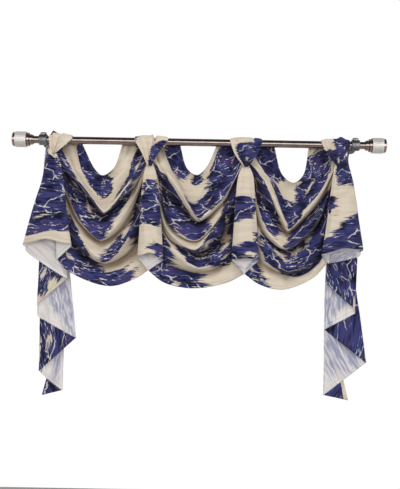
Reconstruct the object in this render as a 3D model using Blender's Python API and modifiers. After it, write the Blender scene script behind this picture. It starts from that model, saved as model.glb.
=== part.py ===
"""Swag and tail drape on a curtain rod.

Three gathered swags, four fluted horns and two stepped tails hang by cloth loops from a metal rod
with finials and two wall brackets. The cloth is one thin printed cotton, unlined. Each cloth piece
is a sheet given its real thickness, laid over its real folds.

Units in the tables are millimetres, measured from the middle of the rod's axis:
x to the right, y towards the wall (so the front is negative), z up.
"""
import math

import bmesh
import bpy
import numpy as np

MM = 0.001

# ---------------------------------------------------------------- driving sizes (mm)
ROD_RADIUS = 11.0
ROD_HALF_LENGTH = 497.0
BRACKET_X = 468.0             # each wall bracket's distance from the rod's middle
STANDOFF = 85.0               # rod axis to wall
SLIP = 0.3                    # gap between pieces that touch
CLOTH = 1.2                   # thickness of a cloth sheet
LOOP_CLEARANCE = 2.0          # the loops ride this far off the rod

# Where the swags, horns and tails are gathered in front of the rod, left to right: the horn's middle, the
# swags' own gather point, and the foot of the seam behind the horn, where the neighbouring hems meet
HANG_COLUMNS = ("x", "gather_x", "seam_x", "seam_z")
HANGS = {
    "left_end": (-427, -442, -417, -360),
    "left_mid": (-145, -145, -146, -388),
    "right_mid": (140, 140, 141, -393),
    "right_end": (417, 417, 404, -355),
}

# The gathered side of a swag runs round the rod from its top edge, behind the rod, to the pinch in
# front, and then down the seam behind the horn. Each place is (aside, y, z), where aside is the distance
# from the gather point towards the swag's middle. The foot of the seam is the last place, after these.
GATHER_PATH = (
    (86, 18.5, -3),       # 0  top edge, behind the rod
    (62, 19.0, -2),       # 1
    (42, 18.5, -4),       # 2
    (22, 15.5, -21),      # 3  under the loop's back end
    (11, 7.5, -33),       # 4  below the rod
    (7, -0.5, -42),       # 5
    (6, -6.0, -52),       # 6  the pinch
    (6, -8.0, -66),       # 7
)
SEAM_ASIDE = 2.8
SEAM_FOOT_Y = -17.0
SEAM_HALF_GAP = 0.4

# One row for each ridge or trough of a swag, from the top edge down to the hem.
# gather_l and gather_r are places on the gather path; (lx, ly, lz), (mx, my, mz) and (rx, ry, rz)
# are points on the left side, at the bottom and on the right side; tip sharpens the bottom.
SWAG_COLUMNS = ("gather_l", "lx", "ly", "lz", "mx", "my", "mz", "rx", "ry", "rz", "gather_r", "tip")
SWAG_ROWS = {
    "swag_left": (
        (0.0, -312, 11, -86, -289, 4, -103, -257, 10, -81, 0.0, 0.0),           # top edge
        (1.2, -350, 4, -100, -290, -8, -154, -234, 2, -104, 1.2, 0.0),          # upper panel
        (3.4, -368, -8, -98, -284, -18, -188, -214, -10, -118, 3.4, 0.2),       # above fold 1
        (6.0, -352, -31, -128, -276, -49, -215, -214, -34, -140, 6.0, 0.6),     # fold 1
        (6.5, -358, -9, -144, -284, -13, -222, -208, -8, -162, 6.6, 0.5),       # under fold 1
        (7.0, -354, -35, -226, -286, -53, -292, -220, -38, -226, 7.0, 0.4),     # fold 2
        (7.06, -360, -9, -240, -284, -15, -300, -206, -7, -240, 7.06, 0.3),     # under fold 2
        (7.12, -356, -38, -276, -280, -55, -356, -206, -33, -292, 7.14, 0.3),   # fold 3
        (7.3, -378, -7, -306, -274, -16, -370, -186, -1, -318, 7.3, 0.2),       # under fold 3
        (7.6, -386, -20, -348, -266, -38, -406, -178, -12, -354, 7.6, 0.0),     # flounce
        (8.0, -384, -26, -391, -258, -44, -433, -178, -26, -408, 8.0, 0.0),     # hem
    ),
    "swag_middle": (
        (0.0, -35, 11, -78, -6, 4, -97, 20, 11, -76, 0.0, 0.0),                 # top edge
        (1.2, -62, 5, -92, -10, -6, -148, 48, 4, -94, 1.2, 0.0),                # upper panel
        (3.2, -80, -6, -98, -6, -16, -196, 72, -9, -122, 3.4, 0.2),             # above fold 1
        (6.0, -67, -31, -130, 3, -48, -231, 67, -33, -173, 6.2, 0.5),           # fold 1
        (6.5, -82, -6, -160, 0, -14, -240, 70, -13, -184, 6.6, 0.4),            # under fold 1
        (7.0, -76, -33, -252, -4, -50, -290, 62, -34, -226, 7.04, 0.3),         # fold 2
        (7.05, -82, -17, -260, -6, -24, -297, 63, -28, -233, 7.1, 0.3),         # under fold 2
        (7.1, -88, -29, -268, -8, -52, -320, 66, -38, -237, 7.18, 0.4),         # fold 3
        (7.2, -92, -14, -284, 0, -15, -332, 86, -2, -280, 7.28, 0.2),           # under fold 3
        (7.3, -92, -29, -300, 5, -54, -374, 84, -35, -323, 7.4, 0.1),           # fold 4
        (7.6, -104, -12, -350, 4, -25, -388, 92, -13, -356, 7.6, 0.0),          # under fold 4
        (8.0, -96, -28, -421, -10, -44, -435, 88, -28, -418, 8.0, 0.0),         # hem
    ),
    "swag_right": (
        (0.0, 251, 11, -90, 284, 4, -115, 314, 11, -92, 0.0, 0.0),              # top edge
        (1.2, 232, 4, -108, 280, -8, -160, 338, 4, -106, 1.2, 0.0),             # upper panel
        (3.4, 212, -10, -106, 270, -19, -204, 352, -7, -116, 3.4, 0.2),         # above fold 1
        (6.0, 204, -35, -130, 266, -50, -257, 350, -36, -166, 6.5, 0.7),        # fold 1
        (6.4, 192, -11, -152, 266, -14, -265, 354, -10, -180, 6.8, 0.6),        # under fold 1
        (7.04, 198, -35, -252, 258, -53, -310, 356, -39, -216, 7.05, 0.4),      # fold 2
        (7.12, 192, -13, -264, 262, -17, -318, 352, -10, -250, 7.12, 0.3),      # under fold 2
        (7.24, 192, -31, -296, 266, -55, -372, 357, -35, -296, 7.2, 0.2),       # fold 3
        (7.5, 172, -9, -340, 266, -25, -390, 368, -8, -340, 7.4, 0.1),          # under fold 3
        (8.0, 188, -28, -422, 254, -44, -434, 346, -26, -398, 8.0, 0.0),        # hem
    ),
}

# The hangs at each swag's left and right
SWAG_HANGS = {
    "swag_left": ("left_end", "left_mid"),
    "swag_middle": ("left_mid", "right_mid"),
    "swag_right": ("right_mid", "right_end"),
}

# Horns. Each section goes from the back seam round one corner, across the front panel and round the
# other corner to the back seam again. drop is the share of the way from the top to the hem. On an
# end horn the outer corner goes up behind the rod, and the tail begins where its return would be.
TURN = (6, 11, -3)            # how far an end horn's outer edge turns back at the hem
TURN_AT_TOP = 0.25            # and the share of that at the top
# Where a horn's extra points lie between a corner and the front or the seam: share of the way, of the depth
FRONT_BLEND = (0.4, 0.88)
BACK_BLEND = (0.5, 0.15)
HORN_COLUMNS = ("drop", "left", "left_y", "right", "right_y", "front_y", "back_y")
HORNS = {
    "horn_left_end": dict(
        hang="left_end", returns="right", pinch=-42, top_left=-20, top_right=-44,
        hem_left=-319, hem_middle=-299, hem_right=-313,
        sections=(
            (0.00, -459, 11, -417, -22, -23, -18.5),
            (0.12, -459, -10, -410, -25, -31, -19.0),
            (0.35, -465, -26, -399, -28, -38, -19.5),
            (0.60, -486, -32, -390, -32, -44, -20.0),
            (0.82, -502, -38, -381, -37, -50, -21.0),
            (1.00, -514, -43, -372, -42, -58, -22.0),
        )),
    "horn_left_mid": dict(
        hang="left_mid", returns="both", pinch=-68, top_left=-68, top_right=-68,
        hem_left=-345, hem_middle=-333, hem_right=-353,
        sections=(
            (0.00, -153, -20, -138, -20, -21, -18.5),
            (0.12, -163, -25, -126, -25, -30, -19.0),
            (0.35, -169, -28, -116, -28, -38, -19.5),
            (0.60, -172, -32, -109, -32, -46, -20.0),
            (0.82, -174, -36, -104, -36, -54, -21.0),
            (1.00, -176, -40, -100, -40, -62, -22.0),
        )),
    "horn_right_mid": dict(
        hang="right_mid", returns="both", pinch=-68, top_left=-68, top_right=-68,
        hem_left=-349, hem_middle=-343, hem_right=-348,
        sections=(
            (0.00, 133, -20, 147, -20, -21, -18.5),
            (0.12, 118, -25, 162, -25, -30, -19.0),
            (0.35, 111, -28, 169, -28, -38, -19.5),
            (0.60, 107, -32, 174, -32, -46, -20.0),
            (0.82, 104, -36, 179, -36, -54, -21.0),
            (1.00, 102, -40, 182, -40, -62, -22.0),
        )),
    "horn_right_end": dict(
        hang="right_end", returns="left", pinch=-60, top_left=-62, top_right=-17,
        hem_left=-323, hem_middle=-307, hem_right=-320,
        sections=(
            (0.00, 404, -22, 453, 11, -23, -18.5),
            (0.12, 399, -25, 446, -12, -31, -19.0),
            (0.35, 391, -28, 460, -26, -38, -19.5),
            (0.60, 383, -32, 471, -32, -44, -20.0),
            (0.82, 375, -37, 481, -38, -50, -21.0),
            (1.00, 367, -42, 488, -43, -58, -22.0),
        )),
}

# Tails. One row for each fold edge, from the front layer to the back one: its place behind the rod,
# at the shoulder (level with the horn's hem) and at the hem.
TAIL_COLUMNS = ("x_top", "y_top", "x_shoulder", "y_shoulder", "x_hem", "y_hem", "z_hem")
TAIL_TOP_Z = -10.0
TAIL_SHOULDER_Z = -300.0
TAIL_LEVELS = 5               # rows of the mesh above the shoulder, and as many below it
TAILS = {
    "tail_left": (
        (-462, 17.0, -499, -24, -505, -28, -324),
        (-440, 20.2, -393, -2, -388, -4, -414),
        (-462, 23.4, -472, 4, -479, 3, -494),
        (-462, 25.0, -471, 9, -477, 10, -528),
        (-440, 28.2, -396, 15, -362, 16, -594),
        (-462, 31.4, -471, 20, -473, 22, -697),
        (-462, 33.0, -464, 26, -454, 29, -716),
        (-440, 36.2, -402, 32, -404, 36, -757),
        (-460, 39.4, -460, 39, -467, 44, -774),
    ),
    "tail_right": (
        (441, 17.0, 476, -24, 480, -28, -325),
        (420, 20.2, 391, -3, 388, -5, -354),
        (420, 21.8, 389, 1, 386, 0, -411),
        (441, 25.0, 480, 4, 476, 4, -491),
        (441, 26.6, 480, 10, 478, 11, -506),
        (420, 29.8, 394, 17, 388, 18, -556),
        (441, 33.0, 465, 24, 517, 25, -655),
        (420, 36.2, 394, 30, 391, 34, -757),
        (440, 39.4, 458, 37, 468, 42, -773),
    ),
}
TIP_INSET = 14.0              # how far the tip's free edge slants inwards over TIP_RISE above its hem
TIP_RISE = 60.0
FOLD_WIDTH_SHARE = 0.45       # how much of the depth between two fold edges the rounded folds take

# Loops: the edges where each crosses the top of the rod, and the pinch it runs down to in front
LOOP_COLUMNS = ("top_left", "top_right", "pinch_x", "pinch_z", "flutes")
LOOPS = {
    "loop_left_end": (-449, -381, -433, -43, 3),
    "loop_left_mid": (-193, -95, -147, -76, 4),
    "loop_right_mid": (93, 187, 139, -73, 4),
    "loop_right_end": (366, 450, 414, -66, 3),
}
LOOP_PINCH_HALF = 5.0
LOOP_PINCH_Y = -28.0          # the pinch lies in front of the horn's top
LOOP_WAIST = (-24.0, 0.5, 0.45)    # depth half way down, that height's share of the drop, share of the width
LOOP_ANGLES = (170, 130, 90, 50, 10)    # degrees round the rod, from the front over the top
LOOP_BACK_Z = -13.0
LOOP_DOME = 5.0               # how far the middle of a loop stands out over the rod
LOOP_DOME_POWER = 0.6         # below 1 the dome is flatter in its middle
LOOP_FLUTE = 2.6              # how far its flutes stand out at the pinch
LOOP_FLUTE_REACH = 0.29       # share of the loop's length that is fluted
LOOP_END_POWER = 0.7          # how soon dome and flutes rise from the loop's two ends

# Metalwork. Each finial's profile is (distance out from the rod's end, radius); the cup's is made from its
# half length, outer radius and rounded edge.
FINIAL_PROFILE = (
    (SLIP, 0), (SLIP, 13.5), (4, 13.5), (4, 15.5), (8, 15.5), (8, 14.0), (12, 14.0),      # collar
    (12, 19.5), (17, 19.5), (17, 17.5), (20, 17.5),                                      # flange and neck
    (20, 22.0), (22, 23.5), (52, 23.5), (54, 22.0),                                      # barrel
    (54, 21.0), (60, 21.0), (62, 19.0), (62, 0),                                         # end cap
)
CUP_HALF, CUP_RADIUS, CUP_EDGE = 12.0, 16.5, 1.5
ARM_RADIUS, ARM_START = 6.5, ROD_RADIUS + 3.0
PLATE_RADIUS, PLATE_THICK = 17.0, 5.0
PLATE_SINK = 3.0              # how far the arm runs into the wall plate
BOSS_RADIUS, BOSS_FOOT, BOSS_TOP = 9.0, 12.0, 22.0
BOSS_EDGE = 2.5
METAL_SIDES = 24
MERGE = 0.05

# Steps of the mesh between two rows of a table and between two points of a row
SWAG_STEPS = (2, 4)
HORN_STEPS = (1, 2)
TAIL_STEPS = (1, 2)
LOOP_STEPS = (1, 8)


# ---------------------------------------------------------------- curves through table points
def tangents(stations, values):
    """Slope at each station of a smooth curve through values, weighted to the shorter side."""
    steps = np.diff(stations, axis=0)
    slopes = np.diff(values, axis=0) / steps
    inner = (slopes[:-1] * steps[1:] + slopes[1:] * steps[:-1]) / (steps[1:] + steps[:-1])
    return np.concatenate([slopes[:1], inner, slopes[-1:]])


def hermite(share, start, end, slope_start, slope_end):
    """The cubic from start to end with the given slopes (per whole span) at share of the way."""
    rise = share * share * (3 - 2 * share)
    lead = share * (1 - share) ** 2
    trail = share * share * (share - 1)
    return start * (1 - rise) + end * rise + slope_start * lead + slope_end * trail


def through(values, steps, stations=None, slopes=None):
    """Points of a smooth curve through values (stacked on the first axis), steps to a span."""
    values = np.asarray(values, dtype=float)
    if stations is None:
        stations = np.arange(len(values), dtype=float)
    shape = (-1,) + (1,) * (values.ndim - 1)
    spans = np.asarray(stations, dtype=float).reshape(shape)
    if slopes is None:
        slopes = tangents(spans, values)
    points = []
    for i in range(len(values) - 1):
        span = spans[i + 1] - spans[i]
        for k in range(steps):
            points.append(hermite(k / steps, values[i], values[i + 1], slopes[i] * span, slopes[i + 1] * span))
    points.append(values[-1])
    return np.array(points)


def at(table, place):
    """The point at a place on the straight runs between the table's rows (0 is the first row)."""
    table = np.asarray(table, dtype=float)
    row = min(int(place), len(table) - 2)
    return table[row] + (table[row + 1] - table[row]) * (place - row)


def blend(start, end, share, depth_share):
    """A point part of the way from start to end, with a share of its own for the depth (y)."""
    shares = np.array((share, depth_share, share))
    return start + (end - start) * shares


def spacing(points):
    """Stations for uneven points: each step is the square root of the distance."""
    steps = np.sqrt(np.linalg.norm(np.diff(points, axis=0), axis=1))
    return np.concatenate([[0.0], np.cumsum(steps)])


# ---------------------------------------------------------------- meshes and materials
def material(name, color, roughness, metallic=0.0):
    """A Principled material of one colour."""
    made = bpy.data.materials.new(name)
    made.use_nodes = True
    shader = made.node_tree.nodes["Principled BSDF"]
    shader.inputs["Base Color"].default_value = (*color, 1.0)
    shader.inputs["Roughness"].default_value = roughness
    shader.inputs["Metallic"].default_value = metallic
    made.diffuse_color = (*color, 1.0)
    return made


def grid_object(name, grid, collection, parent, look):
    """A thin cloth sheet over a grid of points in millimetres."""
    mesh = bpy.data.meshes.new(name)
    rows, columns = grid.shape[:2]
    bm = bmesh.new()
    verts = [[bm.verts.new(grid[i, j] * MM) for j in range(columns)] for i in range(rows)]
    for i in range(rows - 1):
        for j in range(columns - 1):
            bm.faces.new((verts[i][j], verts[i + 1][j], verts[i + 1][j + 1], verts[i][j + 1]))
    bm.to_mesh(mesh)
    bm.free()
    mesh.shade_smooth()
    sheet = bpy.data.objects.new(name, mesh)
    collection.objects.link(sheet)
    sheet.parent = parent
    sheet.data.materials.append(look)
    solid = sheet.modifiers.new("cloth", "SOLIDIFY")
    solid.thickness = CLOTH * MM
    solid.offset = 0.0
    return sheet


def turned(name, profile, x, collection, parent, look):
    """A solid turned about the rod's axis: profile is (distance along x, radius) from x outwards."""
    mesh = bpy.data.meshes.new(name)
    bm = bmesh.new()
    verts = [bm.verts.new((radius * MM, 0, along * MM)) for along, radius in reversed(profile)]
    for a, b in zip(verts, verts[1:]):
        bm.edges.new((a, b))
    bm.to_mesh(mesh)
    bm.free()
    part = bpy.data.objects.new(name, mesh)
    collection.objects.link(part)
    part.parent = parent
    part.location = (x * MM, 0, 0)
    part.rotation_euler = (0, math.radians(90), 0)
    part.data.materials.append(look)
    screw = part.modifiers.new("turn", "SCREW")
    screw.steps = METAL_SIDES
    screw.render_steps = METAL_SIDES
    screw.use_merge_vertices = True
    screw.merge_threshold = MERGE * MM
    return part


# ---------------------------------------------------------------- cloth shapes
def gather_point(place, hang, side):
    """A point on a swag's gathered edge; side is +1 where the swag lies to the right of the hang."""
    at_hang = dict(zip(HANG_COLUMNS, HANGS[hang]))
    path = [(at_hang["gather_x"] + side * aside, y, z) for aside, y, z in GATHER_PATH]
    path.append((at_hang["seam_x"] + side * SEAM_ASIDE, SEAM_FOOT_Y, at_hang["seam_z"]))
    return at(path, place)


def swag_grid(rows, left_hang, right_hang, steps):
    """The folded surface of a swag, from its table of ridges and troughs."""
    across = []
    for row in rows:
        fold = dict(zip(SWAG_COLUMNS, row))
        points = np.array([
            gather_point(fold["gather_l"], left_hang, 1),
            (fold["lx"], fold["ly"], fold["lz"]),
            (fold["mx"], fold["my"], fold["mz"]),
            (fold["rx"], fold["ry"], fold["rz"]),
            gather_point(fold["gather_r"], right_hang, -1)])
        stations = spacing(points)
        slopes = tangents(stations.reshape(-1, 1), points)
        slopes[2] *= 1 - fold["tip"]
        across.append(through(points, steps[1], stations, slopes))
    return through(across, steps[0])


def horn_grid(horn, steps):
    """A fluted horn: a flattened cone, open at the hem, with its seam at the back."""
    hang = dict(zip(HANG_COLUMNS, HANGS[horn["hang"]]))
    rows = []
    for section in horn["sections"]:
        cut = dict(zip(HORN_COLUMNS, section))
        drop = cut["drop"]

        def level(top, hem):
            return top + drop * (hem - top)

        left = np.array((cut["left"], cut["left_y"], level(horn["top_left"], horn["hem_left"])))
        right = np.array((cut["right"], cut["right_y"], level(horn["top_right"], horn["hem_right"])))
        front_x = hang["x"] + ((cut["left"] + cut["right"]) / 2 - hang["x"]) * drop
        front = np.array((front_x, cut["front_y"], level(horn["pinch"], horn["hem_middle"])))
        seam = np.array((hang["x"] + (hang["seam_x"] - hang["x"]) * drop, cut["back_y"],
                         level(horn["pinch"], hang["seam_z"])))
        half_gap = np.array((SEAM_HALF_GAP, 0, 0))
        turn = np.array(TURN) * (TURN_AT_TOP + (1 - TURN_AT_TOP) * drop)
        points = [left, blend(left, front, *FRONT_BLEND), front, blend(right, front, *FRONT_BLEND), right]
        if horn["returns"] == "right":
            points = [left + turn] + points
        else:
            points = [seam - half_gap, blend(seam, left, *BACK_BLEND)] + points
        if horn["returns"] == "left":
            points = points + [right + turn * (-1, 1, 1)]
        else:
            points = points + [blend(seam, right, *BACK_BLEND), seam + half_gap]
        rows.append(through(points, steps[1]))
    return through(rows, steps[0])


def tail_grid(edges, steps):
    """A stepped tail: layers folded to and fro between its fold edges, each longer than the last."""
    half = TAIL_LEVELS * steps[0]
    columns = []
    for edge in edges:
        fold = dict(zip(TAIL_COLUMNS, edge))
        marks = np.array([TAIL_TOP_Z, TAIL_SHOULDER_Z, fold["z_hem"]])
        places = np.array([(fold["x_top"], fold["y_top"]), (fold["x_shoulder"], fold["y_shoulder"]),
                           (fold["x_hem"], fold["y_hem"])])
        slopes = tangents(marks.reshape(-1, 1), places)
        column = []
        for level in range(2 * half + 1):
            span = min(level // half, 1)
            share = level / half - span
            length = marks[span + 1] - marks[span]
            x, y = hermite(share, places[span], places[span + 1], slopes[span] * length,
                           slopes[span + 1] * length)
            column.append((x, y, marks[span] + share * length))
        columns.append(column)
    columns = np.array(columns)
    # The free edge of the tip slants inwards above its hem
    rise = np.clip((columns[-1][:, 2] - columns[-1][-1, 2]) / TIP_RISE, 0, 1)
    columns[-1][:, 0] += TIP_INSET * rise * np.sign(columns[-2][-1, 0] - columns[-1][-1, 0])
    layers = [columns[0]]
    for i, (front, back) in enumerate(zip(columns, columns[1:])):
        start, end = front.copy(), back.copy()
        fold = (back[:, 1] - front[:, 1]) * FOLD_WIDTH_SHARE / 2
        start[:, 1] += fold * (i > 0)
        end[:, 1] -= fold * (i < len(columns) - 2)
        for k in range(0 if i else 1, steps[1] + (i < len(columns) - 2)):
            share = k / steps[1]
            between = start + (end - start) * share * share * (3 - 2 * share)
            between[:, 1] = start[:, 1] + (end[:, 1] - start[:, 1]) * share
            layers.append(between)
    layers.append(columns[-1])
    return np.array(layers).transpose(1, 0, 2)


def loop_grid(loop, steps):
    """A gathered loop: up from the pinch in front of the rod, over it and down behind."""
    cut = dict(zip(LOOP_COLUMNS, loop))
    ride = ROD_RADIUS + LOOP_CLEARANCE + CLOTH / 2
    pinch = np.array([cut["pinch_x"] - LOOP_PINCH_HALF, cut["pinch_x"] + LOOP_PINCH_HALF])
    top = np.array([cut["top_left"], cut["top_right"]])
    waist_y, waist_drop, waist_width = LOOP_WAIST
    # (y, z) of the path and the edges there, from the pinch round to the back
    stops = [(LOOP_PINCH_Y, cut["pinch_z"], pinch),
             (waist_y, cut["pinch_z"] * waist_drop, pinch + (top - pinch) * waist_width)]
    for angle in LOOP_ANGLES:
        turn = math.radians(angle)
        stops.append((ride * math.cos(turn), ride * math.sin(turn), top))
    stops.append((ride, LOOP_BACK_Z, top))
    path = through([(y, z, edges[0], edges[1]) for y, z, edges in stops], steps[0])
    rows = []
    for i, (y, z, left, right) in enumerate(path):
        away = np.array([y, max(z, 0.0)])
        away = away / np.linalg.norm(away)
        along = i / (len(path) - 1)
        below = max(1 - along / LOOP_FLUTE_REACH, 0.0)
        puff = math.sin(math.pi * along) ** LOOP_END_POWER
        row = []
        for j in range(steps[1] + 1):
            share = j / steps[1]
            flute = below * LOOP_FLUTE * abs(math.sin(math.pi * cut["flutes"] * share))
            dome = (1 - below) * LOOP_DOME * math.sin(math.pi * share) ** LOOP_DOME_POWER
            out = puff * (dome + flute)
            row.append((left + (right - left) * share, y + away[0] * out, z + away[1] * out))
        rows.append(row)
    return np.array(rows)


# ---------------------------------------------------------------- metalwork
def rod(collection, parent, look):
    """The straight round rod."""
    length = 2 * ROD_HALF_LENGTH
    profile = [(0, 0), (0, ROD_RADIUS), (length, ROD_RADIUS), (length, 0)]
    return turned("rod", profile, -ROD_HALF_LENGTH, collection, parent, look)


def finial(name, side, collection, parent, look):
    """A stepped collar, a barrel and an end cap, on the rod's end."""
    made = turned(name, FINIAL_PROFILE, side * ROD_HALF_LENGTH, collection, parent, look)
    if side < 0:
        made.rotation_euler = (0, math.radians(-90), 0)
    return made


def cup(name, side, collection, parent, look):
    """The bracket's cup, a ring round the rod."""
    bore = ROD_RADIUS + SLIP
    end, shoulder = CUP_HALF, CUP_HALF - CUP_EDGE
    profile = [(-end, bore), (-end, CUP_RADIUS - CUP_EDGE), (-shoulder, CUP_RADIUS), (shoulder, CUP_RADIUS),
               (end, CUP_RADIUS - CUP_EDGE), (end, bore), (-end, bore)]
    return turned(name, profile, side * BRACKET_X, collection, parent, look)


def cylinder(radius, length, place, rotation, collection, parent):
    """A plain cylinder of the bracket, to be joined to its cup."""
    bpy.ops.mesh.primitive_cylinder_add(vertices=METAL_SIDES, radius=radius * MM, depth=length * MM)
    made = bpy.context.active_object
    for owner in made.users_collection:
        owner.objects.unlink(made)
    collection.objects.link(made)
    made.parent = parent
    made.rotation_euler = rotation
    made.location = [value * MM for value in place]
    return made


def join(target, other):
    """Other united with target by a Boolean, applied."""
    step = target.modifiers.new("join", "BOOLEAN")
    step.operation = "UNION"
    step.object = other
    step.solver = "EXACT"
    bpy.context.view_layer.update()
    graph = bpy.context.evaluated_depsgraph_get()
    mesh = bpy.data.meshes.new_from_object(target.evaluated_get(graph))
    target.modifiers.clear()
    target.data = mesh
    bpy.data.objects.remove(other)


def bracket(name, side, collection, parent, look):
    """A cup round the rod, a clamp boss on top, an arm back to the wall and a wall plate, one casting."""
    x = side * BRACKET_X
    back = (math.radians(90), 0, 0)
    arm_end = STANDOFF - PLATE_THICK + PLATE_SINK
    arm = cylinder(ARM_RADIUS, arm_end - ARM_START, (x, (ARM_START + arm_end) / 2, 0), back,
                   collection, parent)
    plate = cylinder(PLATE_RADIUS, PLATE_THICK, (x, STANDOFF - PLATE_THICK / 2, 0), back, collection, parent)
    boss = cylinder(BOSS_RADIUS, BOSS_TOP - BOSS_FOOT, (x, 0, (BOSS_FOOT + BOSS_TOP) / 2), (0, 0, 0),
                    collection, parent)
    rounding = boss.modifiers.new("edge", "BEVEL")
    rounding.width = BOSS_EDGE * MM
    rounding.segments = 3
    rounding.limit_method = "ANGLE"
    made = cup(name, side, collection, parent, look)
    for piece in (arm, plate, boss):
        join(made, piece)
    return made


# ---------------------------------------------------------------- the object
def main():
    for thing in list(bpy.data.objects):
        bpy.data.objects.remove(thing, do_unlink=True)
    collection = bpy.data.collections.new("swag_and_tail_drape")
    bpy.context.scene.collection.children.link(collection)

    # The origin is the middle of the left wall plate's back; everything hangs from the rod's middle
    rod_middle = bpy.data.objects.new("rod_middle", None)
    rod_middle.location = (BRACKET_X * MM, -STANDOFF * MM, 0)
    collection.objects.link(rod_middle)
    bpy.context.view_layer.update()

    cloth = material("printed_cotton", (0.10, 0.11, 0.24), 0.85)
    tube_metal = material("brushed_bronze", (0.36, 0.28, 0.25), 0.35, 1.0)
    end_metal = material("satin_nickel", (0.62, 0.57, 0.53), 0.3, 1.0)
    cast_metal = material("dark_steel", (0.16, 0.15, 0.16), 0.5, 1.0)

    rod(collection, rod_middle, tube_metal)
    for word, side in (("left", -1), ("right", 1)):
        finial("finial_" + word, side, collection, rod_middle, end_metal)
        bracket("bracket_" + word, side, collection, rod_middle, cast_metal)

    for name, (left, right) in SWAG_HANGS.items():
        grid_object(name, swag_grid(SWAG_ROWS[name], left, right, SWAG_STEPS), collection, rod_middle, cloth)
    for name, horn in HORNS.items():
        grid_object(name, horn_grid(horn, HORN_STEPS), collection, rod_middle, cloth)
    for name, edges in TAILS.items():
        grid_object(name, tail_grid(edges, TAIL_STEPS), collection, rod_middle, cloth)
    for name, loop in LOOPS.items():
        grid_object(name, loop_grid(loop, LOOP_STEPS), collection, rod_middle, cloth)


main()
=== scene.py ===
"""Looks for the swag and tail drape: printed cloth, metal rod, finials and brackets.

Tables are in millimetres from the middle of the rod's axis: x to the right, y towards the wall (so the
front is negative), z up. They are nearly the tables of the solids that these pieces stand for: the right
end seam's foot, the end horns' hems, the tails' first edges and the loops' waists differ a little.
"""
import math

import bpy
import numpy as np
from mathutils import Matrix, noise, Vector


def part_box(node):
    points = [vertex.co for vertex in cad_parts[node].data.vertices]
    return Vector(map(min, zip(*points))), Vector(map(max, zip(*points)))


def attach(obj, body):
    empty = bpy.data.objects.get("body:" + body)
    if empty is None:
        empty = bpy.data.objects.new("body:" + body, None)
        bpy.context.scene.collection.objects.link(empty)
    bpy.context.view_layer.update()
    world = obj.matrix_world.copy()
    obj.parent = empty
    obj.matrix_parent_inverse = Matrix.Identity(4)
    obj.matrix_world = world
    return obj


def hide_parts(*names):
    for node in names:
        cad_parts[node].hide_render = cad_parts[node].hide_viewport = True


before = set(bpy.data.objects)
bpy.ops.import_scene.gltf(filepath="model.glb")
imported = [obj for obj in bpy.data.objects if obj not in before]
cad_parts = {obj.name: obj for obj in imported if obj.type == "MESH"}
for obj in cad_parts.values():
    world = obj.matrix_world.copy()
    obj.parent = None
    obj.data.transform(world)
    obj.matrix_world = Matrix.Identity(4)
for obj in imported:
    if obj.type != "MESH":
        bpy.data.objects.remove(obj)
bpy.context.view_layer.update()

MM = 0.001
ROD_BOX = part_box("rod")
ROD_MIDDLE = (ROD_BOX[0] + ROD_BOX[1]) / 2
ROD_RADIUS = (ROD_BOX[1].z - ROD_BOX[0].z) / 2 / MM
ROD_END = (ROD_BOX[1].x - ROD_BOX[0].x) / 2  # from its middle, m
CLOTH = 0.8  # thickness of the cloth sheets
LOOP_CLEARANCE = 2.0  # the loops ride this far off the rod


def named(columns, row):
    """A table's row by the names of its columns; columns that are left out at its end are 0."""
    return {**dict.fromkeys(columns, 0.0), **dict(zip(columns, row))}


# ---------------------------------------------------------------- the hanging shape
HANG_COLUMNS = ("x", "gather_x", "seam_x", "seam_z")
HANGS = {
    "left_end": (-427, -442, -417, -360),
    "left_mid": (-145, -145, -146, -388),
    "right_mid": (140, 140, 141, -393),
    "right_end": (417, 417, 389, -356),
}

# How round a swag's ridges and troughs are; 1 is a smooth curve and 0 a sharp edge
RIDGE_ROUNDING = 0.8
TROUGH_ROUNDING = 0.3

# The gathered side of a swag: round the rod, down to the pinch, then down the seam behind the horn
GATHER_PATH = (
    (86, 18.5, -3),     # place 0, the top edge behind the rod
    (62, 19.0, -2),
    (42, 18.5, -4),
    (22, 15.5, -21),    # 3, under the loop's back end
    (11, 7.5, -33),     # 4, below the rod
    (7, -0.5, -42),
    (6, -6.0, -52),     # 6, the pinch
    (6, -8.0, -66),
)
SEAM_ASIDE = 2.8  # a swag's edge ends this far to the side of its horn's seam
SEAM_FOOT_Y = -17.0
SEAM_LAP = (2.0, -0.5, 0.0)  # how far each side of a horn's seam runs past its middle, one behind the other

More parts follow.
